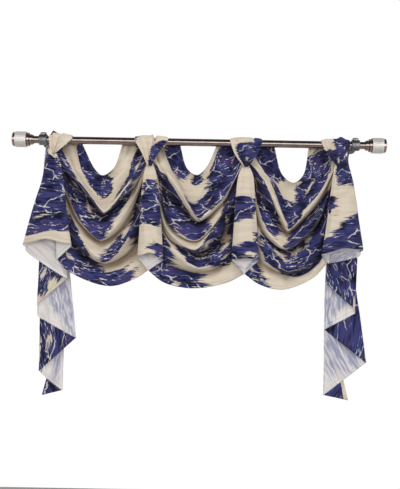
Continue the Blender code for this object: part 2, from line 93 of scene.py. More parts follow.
SWAG_COLUMNS = ("gather_l", "lx", "ly", "lz", "mx", "my", "mz", "rx", "ry", "rz", "gather_r", "tip")
SWAG_ROWS = {
    "swag_left": (
        (0.0, -312, 11, -86, -289, 4, -103, -257, 10, -81, 0.0, 0.0),  # top edge
        (1.2, -350, 4, -100, -290, -8, -154, -234, 2, -104, 1.2, 0.0),  # upper panel
        (3.4, -368, -8, -98, -284, -18, -188, -214, -10, -118, 3.4, 0.2),  # above fold 1
        (6.0, -352, -31, -128, -276, -49, -215, -214, -34, -140, 6.0, 0.6),  # fold 1
        (6.5, -358, -9, -144, -284, -13, -222, -208, -8, -162, 6.6, 0.5),  # under fold 1
        (7.0, -354, -35, -226, -286, -53, -292, -220, -38, -226, 7.0, 0.4),  # fold 2
        (7.06, -360, -9, -240, -284, -15, -300, -206, -7, -240, 7.06, 0.3),  # under fold 2
        (7.12, -356, -38, -276, -280, -55, -356, -206, -33, -292, 7.14, 0.3),  # fold 3
        (7.3, -378, -7, -306, -274, -16, -370, -186, -1, -318, 7.3, 0.2),  # under fold 3
        (7.6, -386, -20, -348, -266, -38, -406, -178, -12, -354, 7.6, 0.0),  # flounce
        (8.0, -384, -26, -391, -258, -44, -433, -178, -26, -408, 8.0, 0.0),  # hem
    ),
    "swag_middle": (
        (0.0, -35, 11, -78, -6, 4, -97, 20, 11, -76, 0.0, 0.0),  # top edge
        (1.2, -62, 5, -92, -10, -6, -148, 48, 4, -94, 1.2, 0.0),  # upper panel
        (3.2, -80, -6, -98, -6, -16, -196, 72, -9, -122, 3.4, 0.2),  # above fold 1
        (6.0, -67, -31, -130, 3, -48, -231, 67, -33, -173, 6.2, 0.5),  # fold 1
        (6.5, -82, -6, -160, 0, -14, -240, 70, -13, -184, 6.6, 0.4),  # under fold 1
        (7.0, -76, -33, -252, -4, -50, -290, 62, -34, -226, 7.04, 0.3),  # fold 2
        (7.05, -82, -17, -260, -6, -24, -297, 63, -28, -233, 7.1, 0.3),  # under fold 2
        (7.1, -88, -29, -268, -8, -52, -320, 66, -38, -237, 7.18, 0.4),  # fold 3
        (7.2, -92, -14, -284, 0, -15, -332, 86, -2, -280, 7.28, 0.2),  # under fold 3
        (7.3, -92, -29, -300, 5, -54, -374, 84, -35, -323, 7.4, 0.1),  # fold 4
        (7.6, -104, -12, -350, 4, -25, -388, 92, -13, -356, 7.6, 0.0),  # under fold 4
        (8.0, -96, -28, -421, -10, -44, -435, 88, -28, -418, 8.0, 0.0),  # hem
    ),
    "swag_right": (
        (0.0, 251, 11, -90, 284, 4, -115, 314, 11, -92, 0.0, 0.0),  # top edge
        (1.2, 232, 4, -108, 280, -8, -160, 338, 4, -106, 1.2, 0.0),  # upper panel
        (3.4, 212, -10, -106, 270, -19, -204, 352, -7, -116, 3.4, 0.2),  # above fold 1
        (6.0, 204, -35, -130, 266, -50, -257, 350, -36, -166, 6.5, 0.7),  # fold 1
        (6.4, 192, -11, -152, 266, -14, -265, 354, -10, -180, 6.8, 0.6),  # under fold 1
        (7.04, 198, -35, -252, 258, -53, -310, 356, -39, -216, 7.05, 0.4),  # fold 2
        (7.12, 192, -13, -264, 262, -17, -318, 352, -10, -250, 7.12, 0.3),  # under fold 2
        (7.24, 192, -31, -296, 266, -55, -372, 357, -35, -296, 7.2, 0.2),  # fold 3
        (7.5, 172, -9, -340, 266, -25, -390, 368, -8, -340, 7.4, 0.1),  # under fold 3
        (8.0, 188, -28, -422, 254, -44, -434, 346, -26, -398, 8.0, 0.0),  # hem
    ),
}
SWAG_HANGS = {
    "swag_left": ("left_end", "left_mid"),
    "swag_middle": ("left_mid", "right_mid"),
    "swag_right": ("right_mid", "right_end"),
}

TURN = (7, 11, -9)  # how far an end horn's outer edge turns back at the hem
TURN_AT_TOP = 0.25  # and the share of that at the top
# Where a horn's extra points lie between a corner and the front or the seam: share of the way, of the depth
FRONT_BLEND = (0.4, 0.88)
BACK_BLEND = (0.5, 0.15)
# The level cuts through a horn: their share of its drop, the depths of its seam and of its front, and those
# of an end horn's inner side and of a middle horn's two sides
HORN_DROPS = (0.0, 0.12, 0.35, 0.6, 0.82, 1.0)
HORN_BACK = (-18.5, -19.0, -19.5, -20.0, -21.0, -22.0)
END_HORN_FRONT = (-23, -31, -38, -44, -50, -58)
MID_HORN_FRONT = (-21, -30, -38, -46, -54, -62)
END_HORN_INNER = (-22, -25, -28, -32, -37, -42)
MID_HORN_SIDES = (-20, -25, -28, -32, -36, -40)
HORNS = {
    "horn_left_end": dict(
        returns="right", pinch=-42, top_left=-20, top_right=-44,
        hem_left=-314, hem_middle=-298, hem_right=-314, front_y=END_HORN_FRONT,
        left=(-459, -459, -465, -486, -502, -514), left_y=(11, -10, -26, -32, -38, -43),
        right=(-417, -410, -399, -390, -381, -372), right_y=END_HORN_INNER),
    "horn_left_mid": dict(
        returns="both", pinch=-68, top_left=-68, top_right=-68,
        hem_left=-345, hem_middle=-333, hem_right=-353, front_y=MID_HORN_FRONT,
        left=(-153, -163, -169, -172, -174, -176), left_y=MID_HORN_SIDES,
        right=(-138, -126, -116, -109, -104, -100), right_y=MID_HORN_SIDES),
    "horn_right_mid": dict(
        returns="both", pinch=-68, top_left=-68, top_right=-68,
        hem_left=-349, hem_middle=-343, hem_right=-348, front_y=MID_HORN_FRONT,
        left=(133, 118, 111, 107, 104, 102), left_y=MID_HORN_SIDES,
        right=(147, 162, 169, 174, 179, 182), right_y=MID_HORN_SIDES),
    "horn_right_end": dict(
        returns="left", pinch=-60, top_left=-62, top_right=-17,
        hem_left=-329, hem_middle=-309, hem_right=-312, front_y=END_HORN_FRONT,
        left=(404, 399, 391, 383, 375, 367), left_y=END_HORN_INNER,
        right=(453, 446, 460, 471, 481, 488), right_y=(11, -12, -26, -32, -38, -43)),
}

TAIL_COLUMNS = ("x_top", "y_top", "x_shoulder", "y_shoulder", "x_hem", "y_hem", "z_hem", "belly")
TAIL_TOP_Z = -10.0
TAIL_SHOULDER_Z = -300.0
TAIL_LEVELS = 5
BELLY_POWER = 3  # a layer's belly grows with this power of the way down to its hem
TAILS = {
    "tail_left": (
        (-462, 17.0, -499, -24, -510, -29, -324, 11),
        (-440, 20.2, -393, -2, -388, -4, -414, 0),
        (-462, 23.4, -472, 4, -479, 3, -494, 0),
        (-462, 25.0, -471, 9, -477, 10, -528, 4),
        (-440, 28.2, -396, 15, -362, 16, -594, 0),
        (-462, 31.4, -471, 20, -473, 22, -697, 0),
        (-462, 33.0, -464, 26, -454, 29, -716, 3),
        (-440, 36.2, -402, 32, -404, 36, -757, 0),
        (-460, 39.4, -460, 39, -467, 44, -774, 0),
    ),
    "tail_right": (
        (441, 17.0, 476, -24, 484, -29, -322, 10),
        (420, 20.2, 391, -3, 388, -5, -354, 0),
        (420, 21.8, 389, 1, 386, 0, -411, 3),
        (441, 25.0, 480, 4, 476, 4, -491, 0),
        (441, 26.6, 480, 10, 478, 11, -506, 0),
        (420, 29.8, 394, 17, 388, 18, -556, 0),
        (441, 33.0, 465, 24, 517, 25, -655, 0),
        (420, 36.2, 394, 30, 391, 34, -757, 0),
        (440, 39.4, 458, 37, 468, 42, -773, 0),
    ),
}
TIP_INSET = 14.0  # how far the tip's free edge slants inwards over TIP_RISE above its hem
TIP_RISE = 60.0
FOLD_WIDTH_SHARE = 0.45  # depth between two layers at their fold, as a share of that from fold to fold

LOOP_COLUMNS = ("top_left", "top_right", "pinch_x", "pinch_z", "flutes", "waist")
LOOPS = {
    "loop_left_end": (-449, -381, -433, -43, 3, 0.52),
    "loop_left_mid": (-193, -95, -147, -76, 4, 0.42),
    "loop_right_mid": (93, 187, 139, -73, 4, 0.66),
    "loop_right_end": (366, 450, 414, -66, 3, 0.56),
}
LOOP_PINCH_HALF = 5.0
LOOP_PINCH_Y = -28.0  # the pinch lies in front of the horn's top
LOOP_WAIST = (-24.0, 0.5)  # depth half way down, and that height's share of the drop
LOOP_ANGLES = (170, 130, 90, 50, 10)  # degrees round the rod, from the front over the top
LOOP_BACK_Z = -9.0
LOOP_DOME = 5.0  # how far the middle of a loop stands out over the rod
LOOP_DOME_POWER = 0.6  # below 1 the dome is flatter in its middle
LOOP_FLUTE = 2.6  # how far its flutes stand out at the pinch
LOOP_FLUTE_REACH = 0.29  # share of the loop's length that is fluted
LOOP_END_POWER = 0.7  # how soon dome and flutes rise from the loop's two ends

# For each kind of piece: the steps of its fine mesh between two rows of a table and between two points of
# a row, the units across it, the cloth's measure (m) for one unit across and one place down, the way the
# print's streaks run, how feathered the patches' ends are, and how it is held
KIND_COLUMNS = ("steps", "across", "measure", "streaks", "feather", "held")
KINDS = {
    "swag": ((9, 28), 1.0, (0.45, 0.05), "across", 1.0, "draped"),
    "horn": ((11, 12), 1.0, (0.22, 0.065), "across", 1.0, "gathered"),
    "tail": ((14, 16), 8.0, (0.10, 0.06), "down", 1.0, "folded"),
    "loop": ((7, 96), 1.0, (0.08, 0.02), "across", 0.25, "gathered"),
}
# The size each piece is cut to before it is sewn and hung (m), and its flat area (square metres)
FLAT_COLUMNS = ("width", "length", "area")
FLATS = {
    "swag_left": (0.48, 0.46, 0.165),
    "swag_middle": (0.48, 0.47, 0.170),
    "swag_right": (0.47, 0.46, 0.157),
    "horn_left_end": (0.22, 0.33, 0.046),
    "horn_left_mid": (0.24, 0.32, 0.046),
    "horn_right_mid": (0.25, 0.33, 0.049),
    "horn_right_end": (0.20, 0.33, 0.041),
    "tail_left": (0.68, 0.77, 0.270),
    "tail_right": (0.68, 0.77, 0.270),
    "loop_left_end": (0.070, 0.145, 0.0100),
    "loop_left_mid": (0.100, 0.155, 0.0150),
    "loop_right_mid": (0.095, 0.155, 0.0145),
    "loop_right_end": (0.085, 0.155, 0.0130),
}
GRAIN_LEVEL = 0.7  # how far the cloth's grain stays level where its folds climb to the sides
# Pieces whose printed side is towards the back of their grid
TURNED_OVER = ("tail_left", "loop_left_end", "loop_left_mid", "loop_right_mid", "loop_right_end")


# ---------------------------------------------------------------- curves through table points
def tangents(stations, values):
    """Slope at each station of a smooth curve through values, weighted to the shorter side."""
    steps = np.diff(stations, axis=0)
    slopes = np.diff(values, axis=0) / steps
    inner = (slopes[:-1] * steps[1:] + slopes[1:] * steps[:-1]) / (steps[1:] + steps[:-1])
    return np.concatenate([slopes[:1], inner, slopes[-1:]])


def hermite(share, start, end, slope_start, slope_end):
    """The cubic from start to end with the given slopes (per whole span) at share of the way."""
    rise = share * share * (3 - 2 * share)
    lead = share * (1 - share) ** 2
    trail = share * share * (share - 1)
    return start * (1 - rise) + end * rise + slope_start * lead + slope_end * trail


def through(values, steps, stations=None, slopes=None):
    """Points of a smooth curve through values (stacked on the first axis), steps to a span."""
    values = np.asarray(values, dtype=float)
    if stations is None:
        stations = np.arange(len(values), dtype=float)
    shape = (-1,) + (1,) * (values.ndim - 1)
    spans = np.asarray(stations, dtype=float).reshape(shape)
    if slopes is None:
        slopes = tangents(spans, values)
    points = []
    for i in range(len(values) - 1):
        span = spans[i + 1] - spans[i]
        ends = (values[i], values[i + 1], slopes[i] * span, slopes[i + 1] * span)
        points += [hermite(k / steps, *ends) for k in range(steps)]
    points.append(values[-1])
    return np.array(points)


def at(table, place):
    """The point at a place on the straight runs between the table's rows (0 is the first row)."""
    table = np.asarray(table, dtype=float)
    row = min(int(place), len(table) - 2)
    return table[row] + (table[row + 1] - table[row]) * (place - row)


def blend(start, end, share, depth_share):
    """A point part of the way from start to end, with a share of its own for the depth (y)."""
    shares = np.array((share, depth_share, share))
    return start + (end - start) * shares


def spacing(points):
    """Stations for uneven points: each step is the square root of the distance."""
    steps = np.sqrt(np.linalg.norm(np.diff(points, axis=0), axis=1))
    return np.concatenate([[0.0], np.cumsum(steps)])


# ---------------------------------------------------------------- cloth shapes
def gather_point(place, hang, side):
    """A point on a swag's gathered edge; side is +1 where the swag lies to the right of the hang."""
    at_hang = named(HANG_COLUMNS, HANGS[hang])
    path = [(at_hang["gather_x"] + side * aside, y, z) for aside, y, z in GATHER_PATH]
    path.append((at_hang["seam_x"] + side * SEAM_ASIDE, SEAM_FOOT_Y, at_hang["seam_z"]))
    return at(path, place)


def sharpened(lines):
    """Slopes from line to line of a swag, less at its ridges and least at its troughs, which are sharp."""
    slopes = tangents(np.arange(len(lines), dtype=float).reshape(-1, 1, 1), lines)
    depth = lines[:, lines.shape[1] // 2, 1]
    for i in range(1, len(lines) - 1):
        if depth[i] < min(depth[i - 1], depth[i + 1]):
            slopes[i] *= RIDGE_ROUNDING
        elif depth[i] > max(depth[i - 1], depth[i + 1]):
            slopes[i] *= TROUGH_ROUNDING
    return slopes


def swag_grid(name, steps):
    """The folded surface of a swag, from its table of ridges and troughs."""
    left_hang, right_hang = SWAG_HANGS[name]
    across = []
    for row in SWAG_ROWS[name]:
        fold = named(SWAG_COLUMNS, row)
        points = np.array([
            gather_point(fold["gather_l"], left_hang, 1),
            (fold["lx"], fold["ly"], fold["lz"]),
            (fold["mx"], fold["my"], fold["mz"]),
            (fold["rx"], fold["ry"], fold["rz"]),
            gather_point(fold["gather_r"], right_hang, -1)])
        stations = spacing(points)
        slopes = tangents(stations.reshape(-1, 1), points)
        slopes[2] *= 1 - fold["tip"]
        across.append(through(points, steps[1], stations, slopes))
    return through(across, steps[0], slopes=sharpened(np.array(across)))


def horn_grid(name, steps):
    """A fluted horn: a flattened cone, open at the hem, with its seam at the back."""
    horn = HORNS[name]
    hang = named(HANG_COLUMNS, HANGS[name.removeprefix("horn_")])
    rows = []
    for i, drop in enumerate(HORN_DROPS):

        def level(top, hem):
            return top + drop * (hem - top)

        left_x, right_x = horn["left"][i], horn["right"][i]
        left = np.array((left_x, horn["left_y"][i], level(horn["top_left"], horn["hem_left"])))
        right = np.array((right_x, horn["right_y"][i], level(horn["top_right"], horn["hem_right"])))
        front_x = hang["x"] + ((left_x + right_x) / 2 - hang["x"]) * drop
        front = np.array((front_x, horn["front_y"][i], level(horn["pinch"], horn["hem_middle"])))
        seam_x, seam_z = level(hang["x"], hang["seam_x"]), level(horn["pinch"], hang["seam_z"])
        seam = np.array((seam_x, HORN_BACK[i], seam_z))
        lap = np.array(SEAM_LAP)
        turn = np.array(TURN) * (TURN_AT_TOP + (1 - TURN_AT_TOP) * drop)
        points = [left, blend(left, front, *FRONT_BLEND), front, blend(right, front, *FRONT_BLEND), right]
        if horn["returns"] == "right":
            points = [left + turn] + points
        else:
            points = [seam + lap, blend(seam, left, *BACK_BLEND)] + points
        if horn["returns"] == "left":
            points = points + [right + turn * (-1, 1, 1)]
        else:
            points = points + [blend(seam, right, *BACK_BLEND), seam - lap]
        rows.append(through(points, steps[1]))
    return through(rows, steps[0])


def tail_edge(edge, half):
    """One fold edge of a tail, from its top over its shoulder to its hem, half steps to a span."""
    fold = named(TAIL_COLUMNS, edge)
    marks = np.array([TAIL_TOP_Z, TAIL_SHOULDER_Z, fold["z_hem"]])
    places = np.array([(fold["x_top"], fold["y_top"]), (fold["x_shoulder"], fold["y_shoulder"]),
                       (fold["x_hem"], fold["y_hem"])])
    slopes = tangents(marks.reshape(-1, 1), places)
    column = []
    for level in range(2 * half + 1):
        span = min(level // half, 1)
        share = level / half - span
        length = marks[span + 1] - marks[span]
        ends = (places[span], places[span + 1], slopes[span] * length, slopes[span + 1] * length)
        x, y = hermite(share, *ends)
        column.append((x, y, marks[span] + share * length))
    return column


def tail_grid(name, steps):
    """A stepped tail: layers folded to and fro between its fold edges, each longer than the last."""
    edges = TAILS[name]
    half = TAIL_LEVELS * steps[0]
    columns = np.array([tail_edge(edge, half) for edge in edges])
    # The free edge of the tip slants inwards above its hem
    rise = np.clip((columns[-1][:, 2] - columns[-1][-1, 2]) / TIP_RISE, 0, 1)
    columns[-1][:, 0] += TIP_INSET * rise * np.sign(columns[-2][-1, 0] - columns[-1][-1, 0])
    layers = [columns[0]]
    drop = np.linspace(0, 1, 2 * half + 1) ** BELLY_POWER
    for i, (front, back) in enumerate(zip(columns, columns[1:])):
        start, end = front.copy(), back.copy()
        belly = named(TAIL_COLUMNS, edges[i])["belly"]
        fold = (back[:, 1] - front[:, 1]) * FOLD_WIDTH_SHARE / 2
        start[:, 1] += fold * (i > 0)
        end[:, 1] -= fold * (i < len(columns) - 2)
        for k in range(0 if i else 1, steps[1] + (i < len(columns) - 2)):
            share = k / steps[1]
            between = start + (end - start) * share * share * (3 - 2 * share)
            between[:, 1] = start[:, 1] + (end[:, 1] - start[:, 1]) * share
            between[:, 2] -= belly * math.sin(math.pi * math.sqrt(share)) * drop
            layers.append(between)
    layers.append(columns[-1])
    return np.array(layers).transpose(1, 0, 2)


def loop_grid(name, steps):
    """A gathered loop: up from the pinch in front of the rod, over it and down behind."""
    loop = named(LOOP_COLUMNS, LOOPS[name])
    ride = ROD_RADIUS + LOOP_CLEARANCE + CLOTH / 2
    pinch = np.array([loop["pinch_x"] - LOOP_PINCH_HALF, loop["pinch_x"] + LOOP_PINCH_HALF])
    top = np.array([loop["top_left"], loop["top_right"]])
    waist_y, waist_drop = LOOP_WAIST
    # (y, z) of the path and the edges there, from the pinch round to the back
    stops = [(LOOP_PINCH_Y, loop["pinch_z"], pinch),
             (waist_y, loop["pinch_z"] * waist_drop, pinch + (top - pinch) * loop["waist"])]
    for angle in LOOP_ANGLES:
        turn = math.radians(angle)
        stops.append((ride * math.cos(turn), ride * math.sin(turn), top))
    stops.append((ride, LOOP_BACK_Z, top))
    path = through([(y, z, edges[0], edges[1]) for y, z, edges in stops], steps[0])
    rows = []
    for i, (y, z, left, right) in enumerate(path):
        away = np.array([y, max(z, 0.0)])
        away = away / np.linalg.norm(away)
        along = i / (len(path) - 1)
        below = max(1 - along / LOOP_FLUTE_REACH, 0.0)
        puff = math.sin(math.pi * along) ** LOOP_END_POWER
        row = []
        for j in range(steps[1] + 1):
            share = j / steps[1]
            flute = below * LOOP_FLUTE * abs(math.sin(math.pi * loop["flutes"] * share))
            dome = (1 - below) * LOOP_DOME * math.sin(math.pi * share) ** LOOP_DOME_POWER
            out = puff * (dome + flute)
            row.append((left + (right - left) * share, y + away[0] * out, z + away[1] * out))
        rows.append(row)
    return np.array(rows)


GRIDS = {"swag": swag_grid, "horn": horn_grid, "tail": tail_grid, "loop": loop_grid}


# ---------------------------------------------------------------- creases
# Soft ridges (height above 0) and troughs (below 0) over each piece, width millimetres wide. Each runs
# from one point of the cloth to another, and is bowed by sag places in between where a sag is given.
# Across is in hundredths of the way along a row of the cloth, or of the way from one of a tail's fold
# edges to the next. Places count the rows of a swag's table, the cuts through a horn, the levels of a tail
# (TAIL_LEVELS down to its shoulder and as many below it) or the stops of a loop's path, from 0 at the top
# or, on a loop, at the pinch.
CREASE_COLUMNS = ("height", "width", "across_from", "place_from", "across_to", "place_to", "sag")
STEEP = 0.55  # share of its width on the side where a crease falls away more sharply
CREASE_FADE = 0.3  # share of its length over which a crease rises from either end
CREASES = {
    "swag_left": (
        (2.5, 12, 2, 0.6, 40, 0.5), (-2.5, 10, 3, 1.3, 46, 1.5, 0.1), (3.0, 12, 60, 0.9, 96, 1.0),
        (-3.0, 10, 62, 1.6, 97, 1.9), (-4.0, 9, 4, 3.55, 45, 3.6, 0.1), (3.5, 10, 5, 3.9, 52, 4.15),
        (-4.0, 9, 8, 4.7, 50, 4.75, 0.1), (-3.0, 8, 40, 4.45, 62, 4.4, 0.1), (3.0, 10, 66, 4.6, 94, 5.2),
        (-4.0, 9, 64, 5.5, 95, 5.75), (-3.0, 10, 6, 6.2, 44, 6.35, 0.1), (3.0, 14, 60, 6.2, 88, 7.2),
        (-3.5, 13, 66, 6.9, 90, 8.2), (2.5, 16, 22, 7.6, 34, 9.8), (-2.5, 16, 40, 8.0, 44, 10.2),
        (2.0, 18, 66, 8.2, 62, 10.2),
    ),
    "swag_middle": (
        (-7.0, 10, 0, 2.0, 20, 3.7), (6.0, 10, 2, 2.7, 18, 4.0), (2.5, 10, 2, 0.5, 36, 0.6),
        (-3.0, 9, 2, 1.2, 42, 1.5, 0.1), (-3.0, 9, 60, 0.7, 98, 0.8), (3.0, 11, 58, 1.3, 97, 1.6),
        (-3.0, 10, 56, 1.7, 94, 2.4, 0.1), (-4.0, 9, 6, 3.6, 46, 3.7, 0.1), (3.5, 10, 6, 4.3, 50, 4.5),
        (-3.5, 9, 10, 5.1, 46, 5.0, 0.1), (-3.0, 8, 42, 4.5, 62, 4.4, 0.1), (3.0, 10, 60, 4.7, 92, 5.0),
        (-4.0, 9, 62, 5.4, 93, 5.9), (3.0, 12, 8, 6.4, 36, 7.0, 0.1), (-3.5, 12, 10, 7.4, 36, 8.3, 0.1),
        (3.0, 12, 66, 6.9, 90, 8.0), (-3.5, 11, 66, 8.0, 90, 9.0), (2.5, 16, 26, 9.0, 33, 10.9),
        (-2.5, 16, 48, 10.0, 46, 11.2), (2.0, 18, 72, 9.6, 70, 11.2),
    ),
    "swag_right": (
        (2.5, 10, 2, 0.6, 38, 0.7), (-3.0, 10, 2, 1.4, 44, 1.6, 0.1), (-3.0, 10, 56, 0.8, 98, 0.9),
        (3.0, 11, 60, 1.5, 97, 1.7), (-3.0, 9, 30, 2.1, 66, 2.2, 0.1), (3.5, 7, 5, 2.85, 95, 2.85),
        (-3.5, 7, 8, 3.5, 95, 3.5), (3.0, 10, 6, 4.1, 46, 4.3), (-4.0, 9, 60, 4.4, 93, 4.6),
        (3.0, 11, 60, 4.9, 92, 5.2), (-3.0, 9, 30, 5.9, 62, 5.9, 0.1), (3.0, 13, 8, 5.2, 30, 6.8, 0.1),
        (-3.5, 13, 10, 6.2, 30, 7.8, 0.1), (3.0, 12, 66, 6.0, 90, 7.0), (-3.5, 12, 66, 6.9, 90, 7.8),
        (2.5, 16, 30, 7.4, 36, 8.9), (-2.5, 16, 52, 7.6, 50, 9.2), (2.0, 18, 74, 7.8, 70, 9.1),
    ),
    "horn_left_end": (
        (6.0, 16, 33, -0.6, 32, 0.9), (-4.0, 6, 38, -0.4, 40, 0.7), (2.5, 10, 36, 0.4, 30, 4.9),
        (-2.5, 10, 44, 0.2, 42, 3.4), (2.0, 9, 52, 0.2, 55, 4.6), (-2.0, 9, 60, 0.3, 64, 4.2),
    ),
    "horn_left_mid": (
        (2.0, 9, 42, 0.1, 40, 4.9), (-2.2, 9, 50, 0.1, 50, 3.6), (2.0, 9, 58, 0.1, 62, 4.9),
    ),
    "horn_right_mid": (
        (2.0, 9, 43, 0.1, 38, 4.9), (-2.2, 8, 47, 0.1, 46, 4.2), (2.2, 9, 56, 0.1, 60, 4.9),
    ),
    "horn_right_end": (
        (2.5, 10, 42, 0.2, 38, 4.9), (-2.2, 10, 52, 0.2, 55, 4.6), (2.5, 10, 64, 0.1, 70, 4.9),
    ),
    "tail_left": (
        (3.0, 14, 35, 4.4, 45, 9.6), (-2.5, 14, 150, 5.0, 150, 9.6), (3.0, 16, 340, 5.2, 350, 9.7),
        (-3.0, 14, 375, 5.6, 380, 9.5), (-2.5, 14, 450, 6.0, 455, 9.7), (2.5, 14, 650, 7.0, 650, 9.9),
    ),
    "tail_right": (
        (-2.5, 14, 235, 5.0, 240, 9.6), (2.5, 14, 270, 5.0, 270, 9.6), (-3.0, 15, 450, 6.0, 450, 9.6),
        (3.0, 16, 535, 6.4, 540, 9.8), (-2.5, 14, 570, 7.0, 570, 9.8), (2.5, 14, 640, 7.4, 640, 9.9),
    ),
    "loop_left_end": (
        (10.0, 13, 10, 3.6, 30, 5.6), (5.0, 6, 26, -0.6, 16, 4.6), (-6.0, 5, 46, -0.6, 44, 3.6),
        (4.5, 5, 60, -0.6, 62, 4.4),
    ),
    "loop_left_mid": (
        (5.0, 9, 25, -0.6, 24, 4.0), (-5.0, 5, 44, -0.6, 40, 2.8), (5.0, 5, 53, 0.8, 53, 5.6),
        (-9.0, 5, 62, 0.6, 61, 5.6), (5.0, 7, 80, -0.6, 82, 3.2),
    ),
    "loop_right_mid": (
        (-5.0, 5, 18, -0.6, 20, 3.0), (9.0, 16, 52, 0.2, 56, 1.9), (-6.0, 4, 34, -0.6, 34, 1.7),
        (-7.0, 5, 62, -0.6, 60, 1.3), (-6.0, 6, 30, 1.9, 92, 2.1, -0.3), (-4.0, 5, 74, 2.2, 74, 5.2),
    ),
    "loop_right_end": (
        (5.0, 8, 16, 0.2, 14, 4.0), (-6.0, 6, 34, 0.6, 46, 3.4), (7.0, 12, 64, 0.4, 56, 2.2),
        (-7.0, 5, 48, -0.4, 46, 1.5), (-6.0, 6, 42, 2.2, 96, 1.9, 0.2), (6.0, 12, 66, 2.6, 70, 5.6),
    ),
}

# The fine pleats that spread from a gathered edge: height, pleats to a unit along the edge, the sway of
# their spacing and its rate, and how far they reach
PLEAT_COLUMNS = ("height", "pleats", "sway", "rate", "reach")
PLEATS = {
    "swag": (2.4, 1.55, 1.3, 2.1, 0.09),
    "horn": (0.9, 7, 1.5, 9, 1.1),
    "loop": (1.5, 4.5, 1.6, 5, 2.0),
}
# A swag's pleats rise over this share of the way across, and fade before this place, over so many places
SWAG_PLEAT_FADE = (0.02, 8.5, 2)
HORN_PLEAT_FADE = 0.25  # a horn's rise over this share of the way across
HORN_PLEAT_DRIFT = 0.25  # how far they lean to one side on their way down (radians to a place)

# A swag's cloth sinks back between its folds and the horns: depth, the middle and half width of the
# recess (shares of the way across, from either side), the place where it starts, how many places above
# the hem it ends, and over how many it fades
SINK = dict(depth=13.0, middle=0.16, width=0.08, start=3.2, finish=1.2, fade=1.5)

# Slight waves all over the cloth: height, grain and seed. The noise's own cells lie askew (radians) to the
# cloth, so that they don't show as lines across and down it.
WAVES = ((0.9, 42.0, 3.0), (0.4, 16.0, 8.0))
NOISE_TURN = 0.6

PAINTED_SHADE_DEPTH = 11.0  # a point this far behind the cloth around it gets the full painted shade
HOLLOW_TURNS = 140  # turns of smoothing that give the cloth around a point
PAINTED_SIDE_SHADE = 0.8  # painted shade beside the horns that hang in front
SIDE_REACH = 0.36  # its share of the way across
SIDE_START = (0.2, 0.3)  # where it starts and over how much it rises, shares of the way down
SIDE_FINISH = 0.12  # and over how much it fades above the hem


def smooth_step(share):
    """0 up to a share of 0 and 1 from a share of 1, with a smooth rise between them."""
    share = np.clip(share, 0, 1)
    return share * share * (3 - 2 * share)


def normals_of(grid):
    """Unit normals of a grid of points, towards the front where rows go down and columns right."""
    down = np.gradient(grid, axis=0)
    right = np.gradient(grid, axis=1)
    normal = np.cross(down, right)
    length = np.linalg.norm(normal, axis=2, keepdims=True)
    return normal / np.maximum(length, 1e-9)


def uneven(grid, size, seed):
    """Smooth noise from -1 to 1 over a grid of points; size is its grain in millimetres."""
    askew = Matrix.Rotation(NOISE_TURN, 3, "Y") @ Matrix.Rotation(NOISE_TURN, 3, "X")
    values = [noise.noise(askew @ Vector(p) / size + Vector((seed, seed, 0))) for p in grid.reshape(-1, 3)]
    return np.array(values).reshape(grid.shape[:2])


def crease_heights(across, place, creases, width, height):
    """Height (mm) of a piece's creases at each point of its grid; width and height as in painted()."""
    total = np.zeros(np.broadcast(across, place).shape)
    for row in creases:
        crease = named(CREASE_COLUMNS, row)
        run_across = (crease["across_to"] - crease["across_from"]) / 100 * width
        run_down = (crease["place_to"] - crease["place_from"]) * height
        square = run_across ** 2 + run_down ** 2
        aside = (across - crease["across_from"] / 100) * width
        below = (place - crease["place_from"]) * height
        along = np.clip((aside * run_across + below * run_down) / square, 0, 1)
        below = below - crease["sag"] * height * 4 * along * (1 - along)
        away = np.hypot(aside - along * run_across, below - along * run_down)
        side = (below - along * run_down) * run_across - (aside - along * run_across) * run_down
        away = np.where(side * np.sign(crease["height"]) > 0, away / STEEP, away)
        fade = smooth_step(along / CREASE_FADE) * smooth_step((1 - along) / CREASE_FADE)
        total += crease["height"] * np.exp(-(away / (crease["width"] * MM)) ** 2) * fade
    return total


def gathers(kind, across, place):
    """Height (mm) of the fine pleats that spread from a piece's gathered edge."""
    if kind not in PLEATS:
        return np.zeros(np.broadcast(across, place).shape)
    pleat = named(PLEAT_COLUMNS, PLEATS[kind])
    along = place if kind == "swag" else across
    turns = 2 * math.pi * pleat["pleats"] * along + pleat["sway"] * np.sin(pleat["rate"] * along)
    inwards = np.minimum(across, 1 - across)
    if kind == "swag":
        edge, last, fade = SWAG_PLEAT_FADE
        near = np.exp(-across / pleat["reach"]) + np.exp(-(1 - across) / pleat["reach"])
        near = near * (smooth_step(inwards / edge) * smooth_step((last - place) / fade))
    else:
        near = np.exp(-place / pleat["reach"])
    if kind == "horn":
        turns = turns + HORN_PLEAT_DRIFT * place
        near = near * smooth_step(inwards / HORN_PLEAT_FADE)
    return pleat["height"] * np.cos(turns) * near


def recessed(grid, across, place):
    """A swag's grid with its recesses beside the horns."""
    aside = np.minimum(across, 1 - across)
    bump = np.exp(-((aside - SINK["middle"]) / SINK["width"]) ** 2) * smooth_step(aside / SINK["middle"])
    last = place[-1, 0] - SINK["finish"]
    fade = smooth_step((place - SINK["start"]) / SINK["fade"]) * smooth_step((last - place) / SINK["fade"])
    sunk = grid.copy()
    sunk[..., 1] += SINK["depth"] * bump * fade
    return sunk


